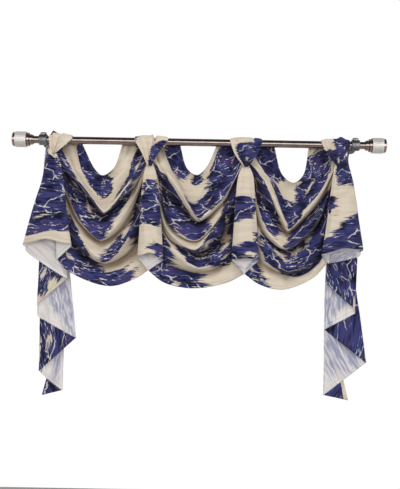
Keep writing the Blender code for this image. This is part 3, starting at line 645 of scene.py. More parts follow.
def painted_shade_of(grid):
    """Painted shade at each point, 0 to 1: more the deeper it lies in the folds, and beside the horns."""
    depth = grid[..., 1]
    around = depth
    for _ in range(HOLLOW_TURNS):
        wide = np.pad(around, 1, mode="edge")
        around = (wide[:-2, 1:-1] + wide[2:, 1:-1] + wide[1:-1, :-2] + wide[1:-1, 2:]) / 4
    rows, columns = depth.shape
    across = np.linspace(0, 1, columns)
    place = np.linspace(0, 1, rows).reshape(-1, 1)
    start, rise = SIDE_START
    beside = smooth_step(1 - np.minimum(across, 1 - across) / SIDE_REACH)
    beside = beside * smooth_step((place - start) / rise) * smooth_step((1 - place) / SIDE_FINISH)
    return np.clip(smooth_step((depth - around) / PAINTED_SHADE_DEPTH) + PAINTED_SIDE_SHADE * beside, 0, 1)


def creased(name, grid, across, place, measure):
    """The grid with its creases, gathers and a slight unevenness, moved along its normals."""
    kind = name.split("_")[0]
    if kind == "swag":
        grid = recessed(grid, across, place)
    height = crease_heights(across, place, CREASES[name], *measure) + gathers(kind, across, place)
    for wave, size, seed in WAVES:
        height = height + wave * uneven(grid, size, seed)
    side = -1 if kind == "loop" else 1
    return grid + normals_of(grid) * (side * height)[..., None]


# ---------------------------------------------------------------- print
# The printed ground is cream; each row paints one soft-edged patch over the rows before it. ink is 1 for
# the dark dye and 0 for cream. Across and place are those of the creases, and lean is how far the patch's
# middle drops to the right.
PATCH_COLUMNS = ("ink", "across_from", "across_to", "place_from", "place_to", "lean")
PRINTS = {
    "swag_left": (
        (1, -2, 32, -0.9, 0.78, 0.1), (1, 24, 64, -0.9, 1.12, 0.15), (1, 48, 60, 0.9, 1.5),
        (0, 52, 57, 0.25, 0.6), (1, -5, 19, 1.9, 2.85, 0.2), (1, 81, 103, 1.5, 3.5),
        (1, 66, 85, 1.75, 2.55, -0.25), (0, 84, 90, 1.8, 2.5, -0.2), (0, 69, 74, 2.0, 2.2, -0.1),
        (1, 0, 60, 3.06, 5.15, 0.15), (1, 52, 80, 3.3, 4.55, -0.35), (0, 17, 25, 3.75, 4.1, 0.1),
        (0, 31, 38, 4.1, 4.45, 0.1), (0, 58, 68, 4.48, 4.62, -0.1), (1, 77, 106, 5.6, 9.0, 0.2),
        (1, 50, 80, 6.45, 7.05, -0.3), (0, 62, 68, 6.65, 6.9, -0.1), (0, 69, 77, 6.1, 6.75),
        (1, 16, 47, 7.2, 9.1, 0.75), (1, -4, 32, 8.95, 10.6, 0.1), (1, 33, 62, 8.75, 9.18),
        (1, 26, 56, 9.4, 10.6), (1, 50, 70, 9.3, 9.95), (0, 20, 36, 8.75, 8.95, 0.3),
        (0, 5, 12, 9.15, 9.45, 0.1), (1, 91, 99, 9.35, 9.6),
    ),
    "swag_middle": (
        (1, -2, 34, -0.9, 1.5, -0.1), (1, 40, 61, -0.5, 0.55), (1, 38, 74, 1.6, 2.75, -0.3),
        (1, 64, 102, 0.45, 3.05, -0.1), (0, 58, 66, 1.95, 2.2, -0.2), (0, 58, 74, 2.58, 2.75, -0.2),
        (1, 2, 62, 3.5, 4.95, 0.3), (1, 12, 30, 4.8, 5.6, 0.2), (0, 40, 54, 4.42, 4.56),
        (0, 10, 13, 4.1, 4.9, 0.2), (1, 78, 100, 3.6, 9.6), (1, 68, 82, 5.3, 7.5, -0.2),
        (1, 60, 72, 6.8, 8.0, -0.2), (1, 35, 70, 7.2, 8.92, 0.1), (0, 56, 64, 7.2, 7.85, -0.2),
        (0, 50, 63, 8.1, 8.4, -0.2), (1, 63, 91, 8.9, 10.2, 0.2), (0, 71, 78, 9.15, 9.5),
        (1, 5, 34, 8.5, 10.9, 0.7), (1, -6, 33, 9.85, 11.8, 0.1), (1, 20, 50, 10.1, 10.65),
        (1, 36, 62, 10.75, 11.7), (0, 8, 15, 9.9, 10.3, 0.1), (0, 22, 36, 10.72, 10.84, 0.1),
    ),
    "swag_right": (
        (1, -2, 27, -0.9, 2.0, 0.1), (1, 16, 34, -0.9, 0.4), (1, 27, 50, 1.5, 2.35, 0.2),
        (1, 42, 63, 1.45, 2.85, 0.2), (0, 42, 54, 1.98, 2.14), (0, 44, 55, 2.34, 2.5),
        (1, 56, 97, -0.2, 2.72, 0.1), (0, 93, 105, -0.9, 1.1), (0, 56, 64, -0.5, 0.4),
        (0, 66, 72, 1.35, 1.75, -0.2), (1, 0, 40, 3.1, 4.7, 0.3), (0, 13, 17, 3.9, 4.4, 0.2),
        (1, 51, 87, 4.2, 6.2), (1, 78, 100, 4.9, 6.2), (1, 24, 56, 5.95, 7.55, 0.2),
        (1, 46, 93, 5.8, 8.35, -0.1), (0, 40, 53, 6.35, 6.75, 0.1), (0, 66, 72, 5.85, 6.35, -0.3),
        (0, 56, 63, 6.15, 6.6, -0.2), (0, 80, 95, 7.3, 7.46, -0.2), (1, -4, 33, 8.1, 9.6, 0.35),
        (0, 8, 17, 8.55, 8.75, 0.2),
    ),
    "horn_left_end": (
        (1, -20, 104, -1.2, 4.42, -0.3), (0, 35, 130, 3.95, 5.6, -0.35), (0, 10, 50, 3.5, 3.68, -0.12),
        (0, 22, 50, -0.8, 0.62), (0, 50, 72, 0.5, 0.85, 0.6),
    ),
    "horn_left_mid": (
        (1, 28, 78, 1.36, 3.3), (1, 62, 92, 1.7, 3.0), (1, 16, 36, 2.4, 3.25),
        (1, 53, 86, 4.25, 5.6, 0.1),
    ),
    "horn_right_mid": (
        (1, 20, 64, 1.98, 2.4), (1, 20, 70, 2.25, 2.6), (1, 10, 56, 2.5, 2.95, -0.1),
        (1, 68, 92, 3.5, 4.05), (1, 38, 86, 4.04, 4.75), (1, 14, 56, 4.25, 5.6), (1, 55, 95, 4.55, 5.7),
        (0, 54, 69, 4.55, 4.95),
    ),
    "horn_right_end": (
        (1, 42, 105, -0.6, 1.85, 0.45), (1, 50, 105, 3.2, 4.3, -0.25), (1, 24, 44, 2.05, 2.75),
        (1, 10, 105, 4.05, 5.6, -0.05), (0, 46, 74, 4.36, 4.5), (0, 28, 42, 4.6, 4.75),
    ),
    "tail_left": (
        (1, 60, 240, 2.0, 9.35), (0, 160, 184, 7.5, 8.25, 0.2), (0, 170, 182, 8.8, 9.3),
        (0, 134, 162, 8.5, 10.6, -0.3), (1, 338, 390, 7.0, 9.6, 0.7), (1, 392, 560, 4.0, 10.8),
        (0, 456, 476, 8.75, 9.35, 0.1), (0, 482, 510, 8.8, 9.5), (0, 444, 451, 8.9, 9.95),
        (1, 650, 675, 8.3, 9.8), (1, 697, 860, 6.0, 10.9),
    ),
    "tail_right": (
        (1, 20, 90, 7.0, 10.6), (1, 140, 320, 2.0, 10.8), (0, 278, 350, 8.7, 11.6),
        (1, 430, 505, 6.4, 9.7, 0.6), (1, 495, 630, 4.0, 10.4), (1, 630, 688, 8.1, 9.8, -0.3),
        (1, 695, 772, 6.0, 11.4),
    ),
    "loop_left_end": (
        (1, -10, 44, 3.9, 7.6, 0.3),
    ),
    "loop_left_mid": (
        (1, 52, 140, -0.8, 1.8, 0.15), (1, 30, 110, -0.8, 0.4), (1, -10, 50, 4.3, 7.6, 0.2),
        (1, -12, 7, 2.6, 5.0),
    ),
    "loop_right_mid": (
        (1, 76, 120, -0.6, 5.4), (1, 16, 130, -0.8, 1.8, -0.1), (0, 44, 72, 0.3, 0.95),
    ),
    "loop_right_end": (
        (1, 42, 120, 1.1, 7.6), (1, -20, 120, -0.8, 1.25), (0, 40, 68, 0.1, 0.95), (0, 88, 110, 0.2, 1.6),
        (0, 74, 90, 1.35, 1.9),
    ),
}
GROUND = -0.03  # the print's distance on bare cream
PATCH_POWER = 3  # between an ellipse (2) and a box


def painted(across, place, patches, width, height):
    """Distance (m, positive in the dark dye) to the edge of the patches; width and height are the
    cloth's measure (m) for one unit of across and one of place."""
    field = np.full(np.broadcast(across, place).shape, GROUND)
    for row in patches:
        patch = named(PATCH_COLUMNS, row)
        left, right = patch["across_from"] / 100, patch["across_to"] / 100
        half_across = (right - left) / 2
        half_place = (patch["place_to"] - patch["place_from"]) / 2
        aside = (across - (left + right) / 2) / half_across
        middle = (patch["place_from"] + patch["place_to"]) / 2 + patch["lean"] * aside
        below = (place - middle) / half_place
        away = (np.abs(aside) ** PATCH_POWER + np.abs(below) ** PATCH_POWER) ** (1 / PATCH_POWER)
        inside = (1 - away) * min(half_across * width, half_place * height)
        field = np.maximum(field, inside) if patch["ink"] else np.minimum(field, -inside)
    return field


# ---------------------------------------------------------------- meshes
def lengths(grid, axis):
    """Distance travelled (m) along an axis of the grid, from its start."""
    steps = np.linalg.norm(np.diff(grid, axis=axis), axis=2) * MM
    start = np.zeros_like(np.take(steps, [0], axis=axis))
    return np.concatenate([start, np.cumsum(steps, axis=axis)], axis=axis)


def cloth_fields(name, grid, ink, kind):
    """The cloth's map in metres (along the print's streaks, and over them) and its point attributes."""
    columns = grid.shape[1]
    middle = [columns // 2]
    across, down = lengths(grid, 1), lengths(grid, 0)
    to_hem = down[-1] - down
    across = across - across[:, middle]
    down = np.repeat(down[:, middle], columns, axis=1)
    if kind["streaks"] == "across":
        along, over = across, down + GRAIN_LEVEL * (grid[:, middle, 2] - grid[:, :, 2]) * MM
        axis = 1
    else:
        along, over = down, across
        axis = 0
    slope = np.gradient(ink)[axis] / np.maximum(np.gradient(along, axis=axis), 1e-6)
    fields = {
        "ink": ink,
        "feather": kind["feather"] * np.clip(np.abs(slope), 0, 1),
        "hem": to_hem,
        # painted shade for a swag's folds and beside the horns; none on the other pieces
        "painted_shade": painted_shade_of(grid) if name.startswith("swag") else np.zeros(grid.shape[:2]),
    }
    return np.stack([along, over], axis=-1).reshape(-1, 2), fields


def sheet_object(name, grid, ink, looks, kind, is_turned_over):
    """A thin sheet over a grid of points, with its print fields and a map in metres along the streaks."""
    rows, columns = grid.shape[:2]
    index = np.arange(rows * columns).reshape(rows, columns)
    quads = np.stack([index[:-1, :-1], index[1:, :-1], index[1:, 1:], index[:-1, 1:]], axis=-1).reshape(-1, 4)
    if is_turned_over:
        quads = quads[:, ::-1]
    mesh = bpy.data.meshes.new(name)
    points = grid.reshape(-1, 3) * MM + np.array(ROD_MIDDLE)
    mesh.from_pydata(points.tolist(), [], quads.tolist())
    mesh.shade_smooth()
    cloth_map, fields = cloth_fields(name, grid, ink, kind)
    layer = mesh.uv_layers.new(name="cloth_map")
    layer.data.foreach_set("uv", cloth_map[quads.reshape(-1)].astype(np.float32).ravel())
    for label, values in fields.items():
        attribute = mesh.attributes.new(label, "FLOAT", "POINT")
        attribute.data.foreach_set("value", values.astype(np.float32).ravel())
    piece = bpy.data.objects.new(name, mesh)
    bpy.context.scene.collection.objects.link(piece)
    for look in looks:
        mesh.materials.append(look)
    solid = piece.modifiers.new("cloth", "SOLIDIFY")
    solid.thickness = CLOTH * MM
    solid.offset = 0.0
    solid.material_offset = 1
    solid.material_offset_rim = 0
    return piece


# ---------------------------------------------------------------- materials
class Nodes:
    """A node tree, with short calls for its nodes. They take numbers, colours and sockets."""

    def __init__(self, tree):
        self.tree = tree

    def node(self, kind, *sources, **settings):
        """A new node, with its first inputs filled in order."""
        made = self.tree.nodes.new("ShaderNode" + kind)
        for key, value in settings.items():
            setattr(made, key, value)
        for source, socket in zip(sources, made.inputs):
            self.put(source, socket)
        return made

    def put(self, source, socket):
        """Sets a socket from a number or colour, or links another socket to it."""
        if isinstance(source, bpy.types.NodeSocket):
            self.tree.links.new(source, socket)
        else:
            socket.default_value = source

    def math(self, operation, *sources):
        return self.node("Math", *sources, operation=operation).outputs[0]

    def plus(self, first, second):
        return self.math("ADD", first, second)

    def less(self, first, second):
        return self.math("SUBTRACT", first, second)

    def times(self, first, second):
        return self.math("MULTIPLY", first, second)

    def distance(self, first, second):
        return self.math("ABSOLUTE", self.less(first, second))

    def vector(self, operation, *sources):
        return self.node("VectorMath", *sources, operation=operation).outputs[0]

    def axes(self, vector):
        return self.node("SeparateXYZ", vector).outputs

    def ramp(self, value, low, high, start=0.0, end=1.0, curve="SMOOTHSTEP"):
        """A step from start, at low, to end, at high."""
        return self.node("MapRange", value, low, high, start, end, interpolation_type=curve).outputs[0]

    def noise(self, vector, cells, detail=2.0, distortion=0.0, output=0):
        """Smooth noise from 0 to 1, with this many cells to a unit along each axis."""
        made = self.node("TexNoise", self.stretched(vector, cells))
        made.inputs["Scale"].default_value = 1.0
        made.inputs["Detail"].default_value = detail
        made.inputs["Distortion"].default_value = distortion
        return made.outputs[output]

    def stretched(self, vector, scale):
        made = self.node("Mapping", vector)
        made.inputs["Scale"].default_value = scale
        return made.outputs[0]

    def warped(self, vector, cells, amount):
        """The vector, pushed about by a soft noise."""
        push = self.noise(vector, (cells, cells, cells), detail=1.0, output=1)
        centred = self.vector("SUBTRACT", push, (0.5, 0.5, 0.5))
        return self.vector("MULTIPLY_ADD", centred, (amount, amount, 0), vector)

    def mix(self, share, first, second, kind="MIX"):
        made = self.node("Mix", share, data_type="RGBA", blend_type=kind)
        for source, socket in ((first, made.inputs[6]), (second, made.inputs[7])):
            self.put(source if isinstance(source, bpy.types.NodeSocket) else (*source, 1.0), socket)
        return made.outputs[2]


class Look(Nodes):
    """A Principled material."""

    def __init__(self, name, roughness, metallic=0.0):
        self.material = bpy.data.materials.new(name)
        self.material.use_nodes = True
        super().__init__(self.material.node_tree)
        self.shader = self.tree.nodes["Principled BSDF"]
        self.normal = None
        self.give("Roughness", roughness)
        self.give("Metallic", metallic)

    def give(self, name, source):
        self.put(source, self.shader.inputs[name])

    def bump(self, height, strength, distance):
        made = self.node("Bump")
        made.inputs["Strength"].default_value = strength
        made.inputs["Distance"].default_value = distance
        self.put(height, made.inputs["Height"])
        if self.normal:
            self.put(self.normal, made.inputs["Normal"])
        self.give("Normal", made.outputs[0])


# In the tables below, a ramp is the value where it begins, the value where it ends and, where these aren't
# 0 and 1, its results there. Cells are a noise's cells to a metre, along the print's streaks and over them.
DYE_DARK = (0.006, 0.006, 0.018)
DYE_LIGHT = (0.046, 0.050, 0.175)
DYE_VIOLET = (0.060, 0.040, 0.120)
CREAM_SHADE = (0.58, 0.50, 0.40)
CREAM_LIGHT = (0.65, 0.57, 0.465)
VEIN = (0.62, 0.60, 0.60)
REVERSE = (0.74, 0.70, 0.68)
REVERSE_SHADE = (0.47, 0.44, 0.445)
REVERSE_GHOST = (0.25, 0.27, 0.40)
THREAD = (0.05, 0.045, 0.08)
PAINTED_SHADE_TINT = (0.26, 0.20, 0.15)  # painted shade colour: what is left of the face's colour in the full painted shade of its folds
PAINTED_SHADE_STRENGTH = 0.85  # and how far the painted shade goes there

# Noises about 0 (m): cells, detail and size. Coarse and fine make the feathered ends of the patches,
# fray roughens every edge, and vein roughens the pale veins.
SWINGS = {
    "coarse": ((11, 62, 1), 1.0, 0.085),
    "fine": ((16, 420, 1), 1.0, 0.075),
    "fray": ((70, 140, 1), 2.0, 0.006),
    "vein": ((90, 500, 1), 1.0, 0.035),
}
# Noises turned into masks: cells, detail and ramp
MASKS = {
    "violet": ((9, 30, 1), 2.0, 0.5, 0.66, 0.0, 0.6),        # where the dye is violet
    "cream": ((12, 60, 1), 3.0, 0.35, 0.62),                 # where the ground is light
    "veined": ((15, 26, 1), 1.0, 0.44, 0.52),                # where the dye has veins
    "flecks": ((48, 230, 1), 2.0, 0.58, 0.64),               # flecks in the dye
    "flecked": ((11, 22, 1), 1.0, 0.48, 0.60),               # and where it has them
    "ghost": ((26, 120, 1), 4.0, 0.38, 0.58, 0.16, 0.90),    # streaks of the print on the back
    "shaded": ((9, 26, 1), 3.0, 0.45, 0.70, 0.0, 0.6),       # where the back is darker
}
# The dye's uneven tone: cells and detail of its threads and of its clouds, and the ramp over their mean
DYE_THREADS = ((26, 170, 1), 3.0)
DYE_CLOUDS = ((12, 30, 1), 2.0)
DYE_TONE = (0.38, 0.60)
# How far the map is pushed about: cells to a metre, and metres
CREAM_WARP = (25, 0.02)
GHOST_WARP = (40, 0.012)
VEIN_WARPS = ((12, 0.05), (80, 0.012))
CRINKLE_WARP = (14, 0.05)

INK_SPREAD = 0.004  # how far the dye spreads beyond its patches, m
INK_EDGE = (-0.0012, 0.0018)  # ramp over the distance to the print's edge
VEIN_CELLS = (12, 26, 1)  # the net of pale veins
VEIN_EDGE = (0.012, 0.040, 1.0, 0.0)
VEIN_INSET = (0.004, 0.007)  # veins keep this far inside the dark dye
VEIN_SHARE = 0.9  # how much of the dye they hide
GHOST_EDGE = (-0.006, 0.010)  # the print's edge as it shows on the back

# The hem, in metres above the cloth's edge: a row of stitches, and overlock stitches at the edge itself
HEM_DEPTH = 0.012
HEM_STEP = (HEM_DEPTH, HEM_DEPTH + 0.001, 0.0004, 0.0)
STITCH_LENGTH = 0.004
STITCH_GAP = (0.30, 0.40)
STITCH_ROW = (0.0004, 0.0008, 0.55, 0.0)
OVERLOCK_LENGTH = 0.009
OVERLOCK_GAP = (0.45, 0.55)
OVERLOCK_ROW = (0.0014, 0.0022, 0.35, 0.0)

# The cotton's relief: heights in metres
WEAVE_PITCH = 0.0011
WEAVE_HEIGHT = 0.00001
SLUB_CELLS = (60, 1200, 1)
SLUB_HEIGHT = 0.00003
CRINKLE_CELLS = (45, 45, 1)
CRINKLE_HEIGHT = 0.0012
RELIEF = 0.35  # strength of the bump
COTTON = {"Sheen Weight": 0.15, "Sheen Roughness": 0.4, "Specular IOR Level": 0.12}


class Cotton(Look):
    """A side of the printed cloth."""

    def __init__(self, name, roughness):
        super().__init__(name, roughness)
        self.map = self.node("UVMap", uv_map="cloth_map").outputs[0]
        self.along, self.over, _ = self.axes(self.map)

    def attribute(self, name):
        return self.node("Attribute", attribute_name=name).outputs["Fac"]

    def swing(self, name):
        """One of the noises about 0."""
        cells, detail, size = SWINGS[name]
        return self.times(self.less(self.noise(self.map, cells, detail), 0.5), size)

    def mask(self, name, vector=None):
        """One of the masks, over the cloth's map or over another vector."""
        cells, detail, *ramp = MASKS[name]
        return self.ramp(self.noise(self.map if vector is None else vector, cells, detail), *ramp)

    def ink_edge(self):
        """Distance (m) to the print's feathered edge, positive in the dark dye."""
        streaks = self.times(self.plus(self.swing("coarse"), self.swing("fine")), self.attribute("feather"))
        edge = self.plus(self.plus(self.attribute("ink"), streaks), self.swing("fray"))
        return self.plus(edge, INK_SPREAD)

    def dashes(self, length, gap):
        """Dashes of a length along the cloth's edge, which may run either way over the map."""
        travel = self.plus(self.along, self.over)
        return self.ramp(self.math("FRACT", self.times(travel, 1 / length)), *gap)

    def hemmed(self, colour):
        """The colour with its hem's stitches, and the height of the hem's step."""
        hem = self.attribute("hem")
        row = self.ramp(self.distance(hem, HEM_DEPTH), *STITCH_ROW)
        row = self.times(row, self.dashes(STITCH_LENGTH, STITCH_GAP))
        edge = self.times(self.ramp(hem, *OVERLOCK_ROW), self.dashes(OVERLOCK_LENGTH, OVERLOCK_GAP))
        return self.mix(self.math("MAXIMUM", row, edge), colour, THREAD), self.ramp(hem, *HEM_STEP)

    def finished(self, colour, hem_step):
        """The material with this colour, the cotton's weave, slubs and small creases, and its soft sheen."""
        warp, weft = (self.math("SINE", self.times(axis, 2 * math.pi / WEAVE_PITCH))
                      for axis in (self.along, self.over))
        weave = self.times(self.times(warp, weft), WEAVE_HEIGHT)
        slubs = self.times(self.noise(self.map, SLUB_CELLS, 1.0), SLUB_HEIGHT)
        crinkle = self.noise(self.warped(self.map, *CRINKLE_WARP), CRINKLE_CELLS, 4.0, distortion=0.6)
        height = self.plus(self.plus(weave, slubs), self.times(crinkle, CRINKLE_HEIGHT))
        self.bump(self.plus(height, hem_step), RELIEF, 1.0)
        self.give("Base Color", colour)
        for name, value in COTTON.items():
            self.give(name, value)
        return self.material


def printed_cotton():
    """The cloth's face: cream cotton with feathered dark patches, pale veins, small specks and painted shade
    in its folds.
    """
    look = Cotton("printed_cotton", 0.85)
    edge = look.ink_edge()
    tones = (look.times(look.noise(look.map, *tone), 0.5) for tone in (DYE_THREADS, DYE_CLOUDS))
    dye = look.mix(look.ramp(look.plus(*tones), *DYE_TONE), DYE_DARK, DYE_LIGHT)
    dye = look.mix(look.mask("violet"), dye, DYE_VIOLET)
    cream = look.mix(look.mask("cream", look.warped(look.map, *CREAM_WARP)), CREAM_SHADE, CREAM_LIGHT)

    crooked = look.map
    for warp in VEIN_WARPS:
        crooked = look.warped(crooked, *warp)
    net = look.node("TexVoronoi", look.stretched(crooked, VEIN_CELLS), feature="DISTANCE_TO_EDGE",
                    voronoi_dimensions="2D")
    net.inputs["Scale"].default_value = 1.0
    veins = look.ramp(look.plus(net.outputs[0], look.swing("vein")), *VEIN_EDGE)
    veins = look.times(veins, look.mask("veined"))
    veins = look.math("MAXIMUM", veins, look.times(look.mask("flecks"), look.mask("flecked")))
    pale = look.times(look.times(veins, look.ramp(edge, *VEIN_INSET)), VEIN_SHARE)

    colour = look.mix(look.ramp(edge, *INK_EDGE), cream, look.mix(pale, dye, VEIN))
    colour, hem_step = look.hemmed(colour)
    # Painted shade: the colour is darkened towards brown where the cloth lies deep in its folds and beside
    # the horns
    shade = look.times(look.attribute("painted_shade"), PAINTED_SHADE_STRENGTH)
    return look.finished(look.mix(shade, colour, PAINTED_SHADE_TINT, "MULTIPLY"), hem_step)


def reverse_cotton():
    """The cloth's back: pale, with the print showing through faintly."""
    look = Cotton("reverse_cotton", 0.9)
    ghost = look.mask("ghost", look.warped(look.map, *GHOST_WARP))
    ghost = look.times(look.ramp(look.ink_edge(), *GHOST_EDGE), ghost)
    plain = look.mix(look.mask("shaded"), REVERSE, REVERSE_SHADE)
    return look.finished(*look.hemmed(look.mix(ghost, plain, REVERSE_GHOST)))


# Each metal: its material's name, its colour and tarnished shade, the tint of its rims, its roughness, the
# cells of its fine marks to a metre along x, y and z, and whether it is turned round the rod's axis
METALS = {
    "rod": dict(name="brushed_rod", colour=(0.46, 0.375, 0.345), shade=(0.38, 0.30, 0.275),
                rim=(0.16, 0.13, 0.12), roughness=0.22, grain=(20, 300, 300), is_turned=True),
    "finial": dict(name="satin_finial", colour=(0.60, 0.50, 0.465), shade=(0.48, 0.385, 0.35),
                   rim=(0.25, 0.20, 0.19), roughness=0.26, grain=(900, 40, 40), is_turned=True),
    "bracket": dict(name="cast_bracket", colour=(0.36, 0.36, 0.39), shade=(0.19, 0.18, 0.185),
                    rim=(0.3, 0.3, 0.3), roughness=0.45, grain=(300, 300, 300), is_turned=False),
}
TARNISH_CELLS = (30, 30, 30)
TARNISH = (0.35, 0.7)
MARKS = (0.3, 0.7)
GLOSS_SWING = (-0.04, 0.06)  # how much the marks change the roughness
METAL_RELIEF = (0.04, 0.0001)  # strength and height (m) of the marks' bump

# The knurling of the finials: grooves round them, their pitch, the band it covers (m from the rod's middle,
# with its soft edge), its height (m) and the diamonds' looks
KNURLS = 36
KNURL_PITCH = 0.0040
KNURL_BAND = (ROD_END + 0.020, ROD_END + 0.0535)
KNURL_BAND_EDGE = 0.0005
KNURL_DEPTH = 0.0004
KNURL_FACE = (0.96, 0.92, 0.89)
KNURL_GROOVE = (0.60, 0.55, 0.52)
GROOVE_EDGE = (0.0, 0.22, 0.8, 0.0)
KNURL_ROUGHNESS = 0.5
KNURL_METALLIC = 0.6


def turned(look):
    """The normal of a shape turned round the rod's axis, without the facets of its mesh."""
    coordinates = look.node("TexCoord").outputs
    facet = look.axes(coordinates["Normal"])[0]
    place = look.vector("SUBTRACT", coordinates["Object"], ROD_MIDDLE)
    outwards = look.vector("NORMALIZE", look.vector("MULTIPLY", place, (0, 1, 1)))
    share = look.math("SQRT", look.less(1.0, look.times(facet, facet)))
    along = look.node("CombineXYZ", facet).outputs[0]
    return look.vector("ADD", look.vector("MULTIPLY", outwards, share), along)


def metal(name, colour, shade, rim, roughness, grain, is_turned):
    """Satin metal: fine turning marks, a little tarnish that changes colour and gloss, and darker rims."""
    look = Look(name, roughness, 1.0)
    if is_turned:
        look.normal = turned(look)
    place = look.node("TexCoord").outputs["Object"]
    marks = look.noise(place, grain, 3.0)
    tarnish = look.ramp(look.noise(place, TARNISH_CELLS, 4.0), *TARNISH)
    look.give("Base Color", look.mix(tarnish, colour, shade))
    look.give("Roughness", look.ramp(marks, *MARKS, *(roughness + swing for swing in GLOSS_SWING)))
    look.give("Specular Tint", (*rim, 1.0))
    look.bump(marks, *METAL_RELIEF)
    return look


def knurled(look, roughness):
    """A turned metal with a band of diamond knurling round each finial's widest part."""
    x, y, z = look.axes(look.node("TexCoord").outputs["Object"])
    angle = look.math("ARCTAN2", look.less(z, ROD_MIDDLE.z), look.less(y, ROD_MIDDLE.y))
    turns = look.times(angle, KNURLS / (2 * math.pi))
    outwards = look.distance(x, ROD_MIDDLE.x)
    pitches = look.times(outwards, 1 / KNURL_PITCH)
    grooves = []
    for slant in ("ADD", "SUBTRACT"):
        saw = look.math("FRACT", look.math(slant, turns, pitches))
        grooves.append(look.distance(saw, 0.5))
    diamonds = look.math("MINIMUM", *grooves)
    start, end = KNURL_BAND
    band = look.times(look.ramp(outwards, start, start + KNURL_BAND_EDGE),
                      look.ramp(outwards, end, end + KNURL_BAND_EDGE, 1.0, 0.0))
    look.bump(look.times(diamonds, band), 1.0, KNURL_DEPTH)
    face = look.mix(look.ramp(diamonds, *GROOVE_EDGE), KNURL_FACE, KNURL_GROOVE)
    plain = look.shader.inputs["Base Color"].links[0].from_socket
    look.give("Base Color", look.mix(band, plain, face))
    look.give("Roughness", look.ramp(band, 0.0, 1.0, roughness, KNURL_ROUGHNESS))
    look.give("Metallic", look.ramp(band, 0.0, 1.0, 1.0, KNURL_METALLIC))


def metals():
    """The material of each metal."""
    made = {}
    for kind, details in METALS.items():
        look = metal(**details)
        if kind == "finial":
            knurled(look, details["roughness"])
        made[kind] = look.material
    return made


# ---------------------------------------------------------------- the scene
def hang_cloth():
    """Every piece of cloth: its shape, its print, and what stands for it in the frame."""
    looks = (printed_cotton(), reverse_cotton())
    for name in FLATS:
        kind_name = name.split("_")[0]
        kind = named(KIND_COLUMNS, KINDS[kind_name])
        grid = GRIDS[kind_name](name, kind["steps"])
        rows, columns = grid.shape[:2]
        place = np.linspace(0, (rows - 1) / kind["steps"][0], rows).reshape(-1, 1)
        across = np.linspace(0, kind["across"], columns).reshape(1, -1)
        grid = creased(name, grid, across, place, kind["measure"])
        ink = painted(across, place, PRINTS[name], *kind["measure"])
        piece = sheet_object(name + "_cloth", grid, ink, looks, kind, name in TURNED_OVER)
        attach(piece, "root")
        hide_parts(name)
        cut = named(FLAT_COLUMNS, FLATS[name])


def finish_metalwork():
    """New materials on the rod, the finials and the brackets, whose meshes stay."""
    looks = metals()
    for node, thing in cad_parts.items():
        kind = node.split("_")[0]
        if kind in looks:
            thing.data.materials.clear()
            thing.data.materials.append(looks[kind])


# The camera: its place from the rod's middle and its height (m), its turn to one side (degrees) and the
# height of its view at the rod (m)
CAMERA_ASIDE = 0.0075
CAMERA_AWAY = 2.4
CAMERA_Z = -0.3057
CAMERA_TURN = -1.05
VIEW_HEIGHT = 1.467
SENSOR = 36  # mm

# The surroundings are white behind and dim in front, and less bright overhead, with a long soft strip light
# in front. The ramps run over the direction from the front to the back (y) and upwards (z).
BEHIND = (-0.35, 0.45, 0.05, 1.0)
OVERHEAD = (0.30, 0.75, 1.0, 0.28)
STRIP_FRONT = (-0.2, 0.0, 2.6, 0.0)
STRIP_EDGES = ((-0.22, 0.04), (0.50, 0.15))

# The two lamps: x from the rod's middle, y and z, size, power and colour; both aim at the cloth's middle
LAMP_COLUMNS = ("aside", "y", "z", "size", "power", "colour")
LAMPS = {
    "key": (-0.2, -1.4, 1.8, 0.6, 22, (1.0, 0.985, 0.96)),
    "fill": (0.4, -2.4, -1.0, 1.2, 6, (0.97, 0.98, 1.0)),
}
LAMP_AIM_Z = -0.35

FLOOR = ((-1.5, -2.2), (2.4, 0.75))  # two opposite corners
FLOOR_Z = -1.3
FLOOR_COLOUR = (0.62, 0.61, 0.59, 1)


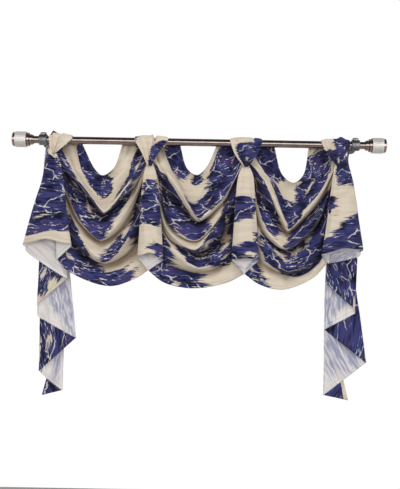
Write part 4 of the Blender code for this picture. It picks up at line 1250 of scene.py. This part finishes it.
def surroundings(scene):
    """A white world, dim in front and overhead, with the strip light in front."""
    world = bpy.data.worlds.new("studio")
    world.use_nodes = True
    sky = Nodes(world.node_tree)
    _, back, up = sky.axes(sky.node("TexCoord").outputs["Generated"])
    plain = sky.times(sky.ramp(back, *BEHIND), sky.ramp(up, *OVERHEAD))
    strip = sky.times(*(sky.ramp(up, *edge) for edge in STRIP_EDGES))
    front = sky.ramp(back, *STRIP_FRONT, curve="LINEAR")
    sky.put(sky.math("MULTIPLY_ADD", strip, front, plain), sky.tree.nodes["Background"].inputs["Color"])
    scene.world = world


def area_light(scene, name, row):
    """A soft lamp from a row of LAMPS. Polished metal doesn't mirror it."""
    lamp = named(LAMP_COLUMNS, row)
    data = bpy.data.lights.new(name, "AREA")
    data.size = lamp["size"]
    data.energy = lamp["power"]
    data.color = lamp["colour"]
    light = bpy.data.objects.new(name, data)
    scene.collection.objects.link(light)
    light.location = (ROD_MIDDLE.x + lamp["aside"], lamp["y"], lamp["z"])
    light.visible_glossy = False
    aim = Vector((ROD_MIDDLE.x, ROD_MIDDLE.y, LAMP_AIM_Z))
    light.rotation_euler = (aim - light.location).to_track_quat("-Z", "Y").to_euler()


def studio():
    """Camera, white surroundings, two soft lights and a pale floor below the view."""
    scene = bpy.context.scene
    camera = bpy.data.objects.new("camera", bpy.data.cameras.new("camera"))
    scene.collection.objects.link(camera)
    camera.location = (ROD_MIDDLE.x + CAMERA_ASIDE, ROD_MIDDLE.y - CAMERA_AWAY, CAMERA_Z)
    camera.rotation_euler = (math.radians(90), math.radians(CAMERA_TURN), 0)
    camera.data.lens = SENSOR * CAMERA_AWAY / VIEW_HEIGHT
    scene.camera = camera
    surroundings(scene)
    scene.view_settings.view_transform = "Standard"
    for name, row in LAMPS.items():
        area_light(scene, name, row)
    (left, front), (right, back) = FLOOR
    corners = [(x, y, FLOOR_Z) for x, y in ((left, front), (right, front), (right, back), (left, back))]
    mesh = bpy.data.meshes.new("floor")
    mesh.from_pydata(corners, [], [(0, 1, 2, 3)])
    floor = bpy.data.objects.new("floor", mesh)
    scene.collection.objects.link(floor)
    look = Look("floor_paint", 0.9)
    look.give("Base Color", FLOOR_COLOUR)
    mesh.materials.append(look.material)


hang_cloth()
finish_metalwork()
studio()
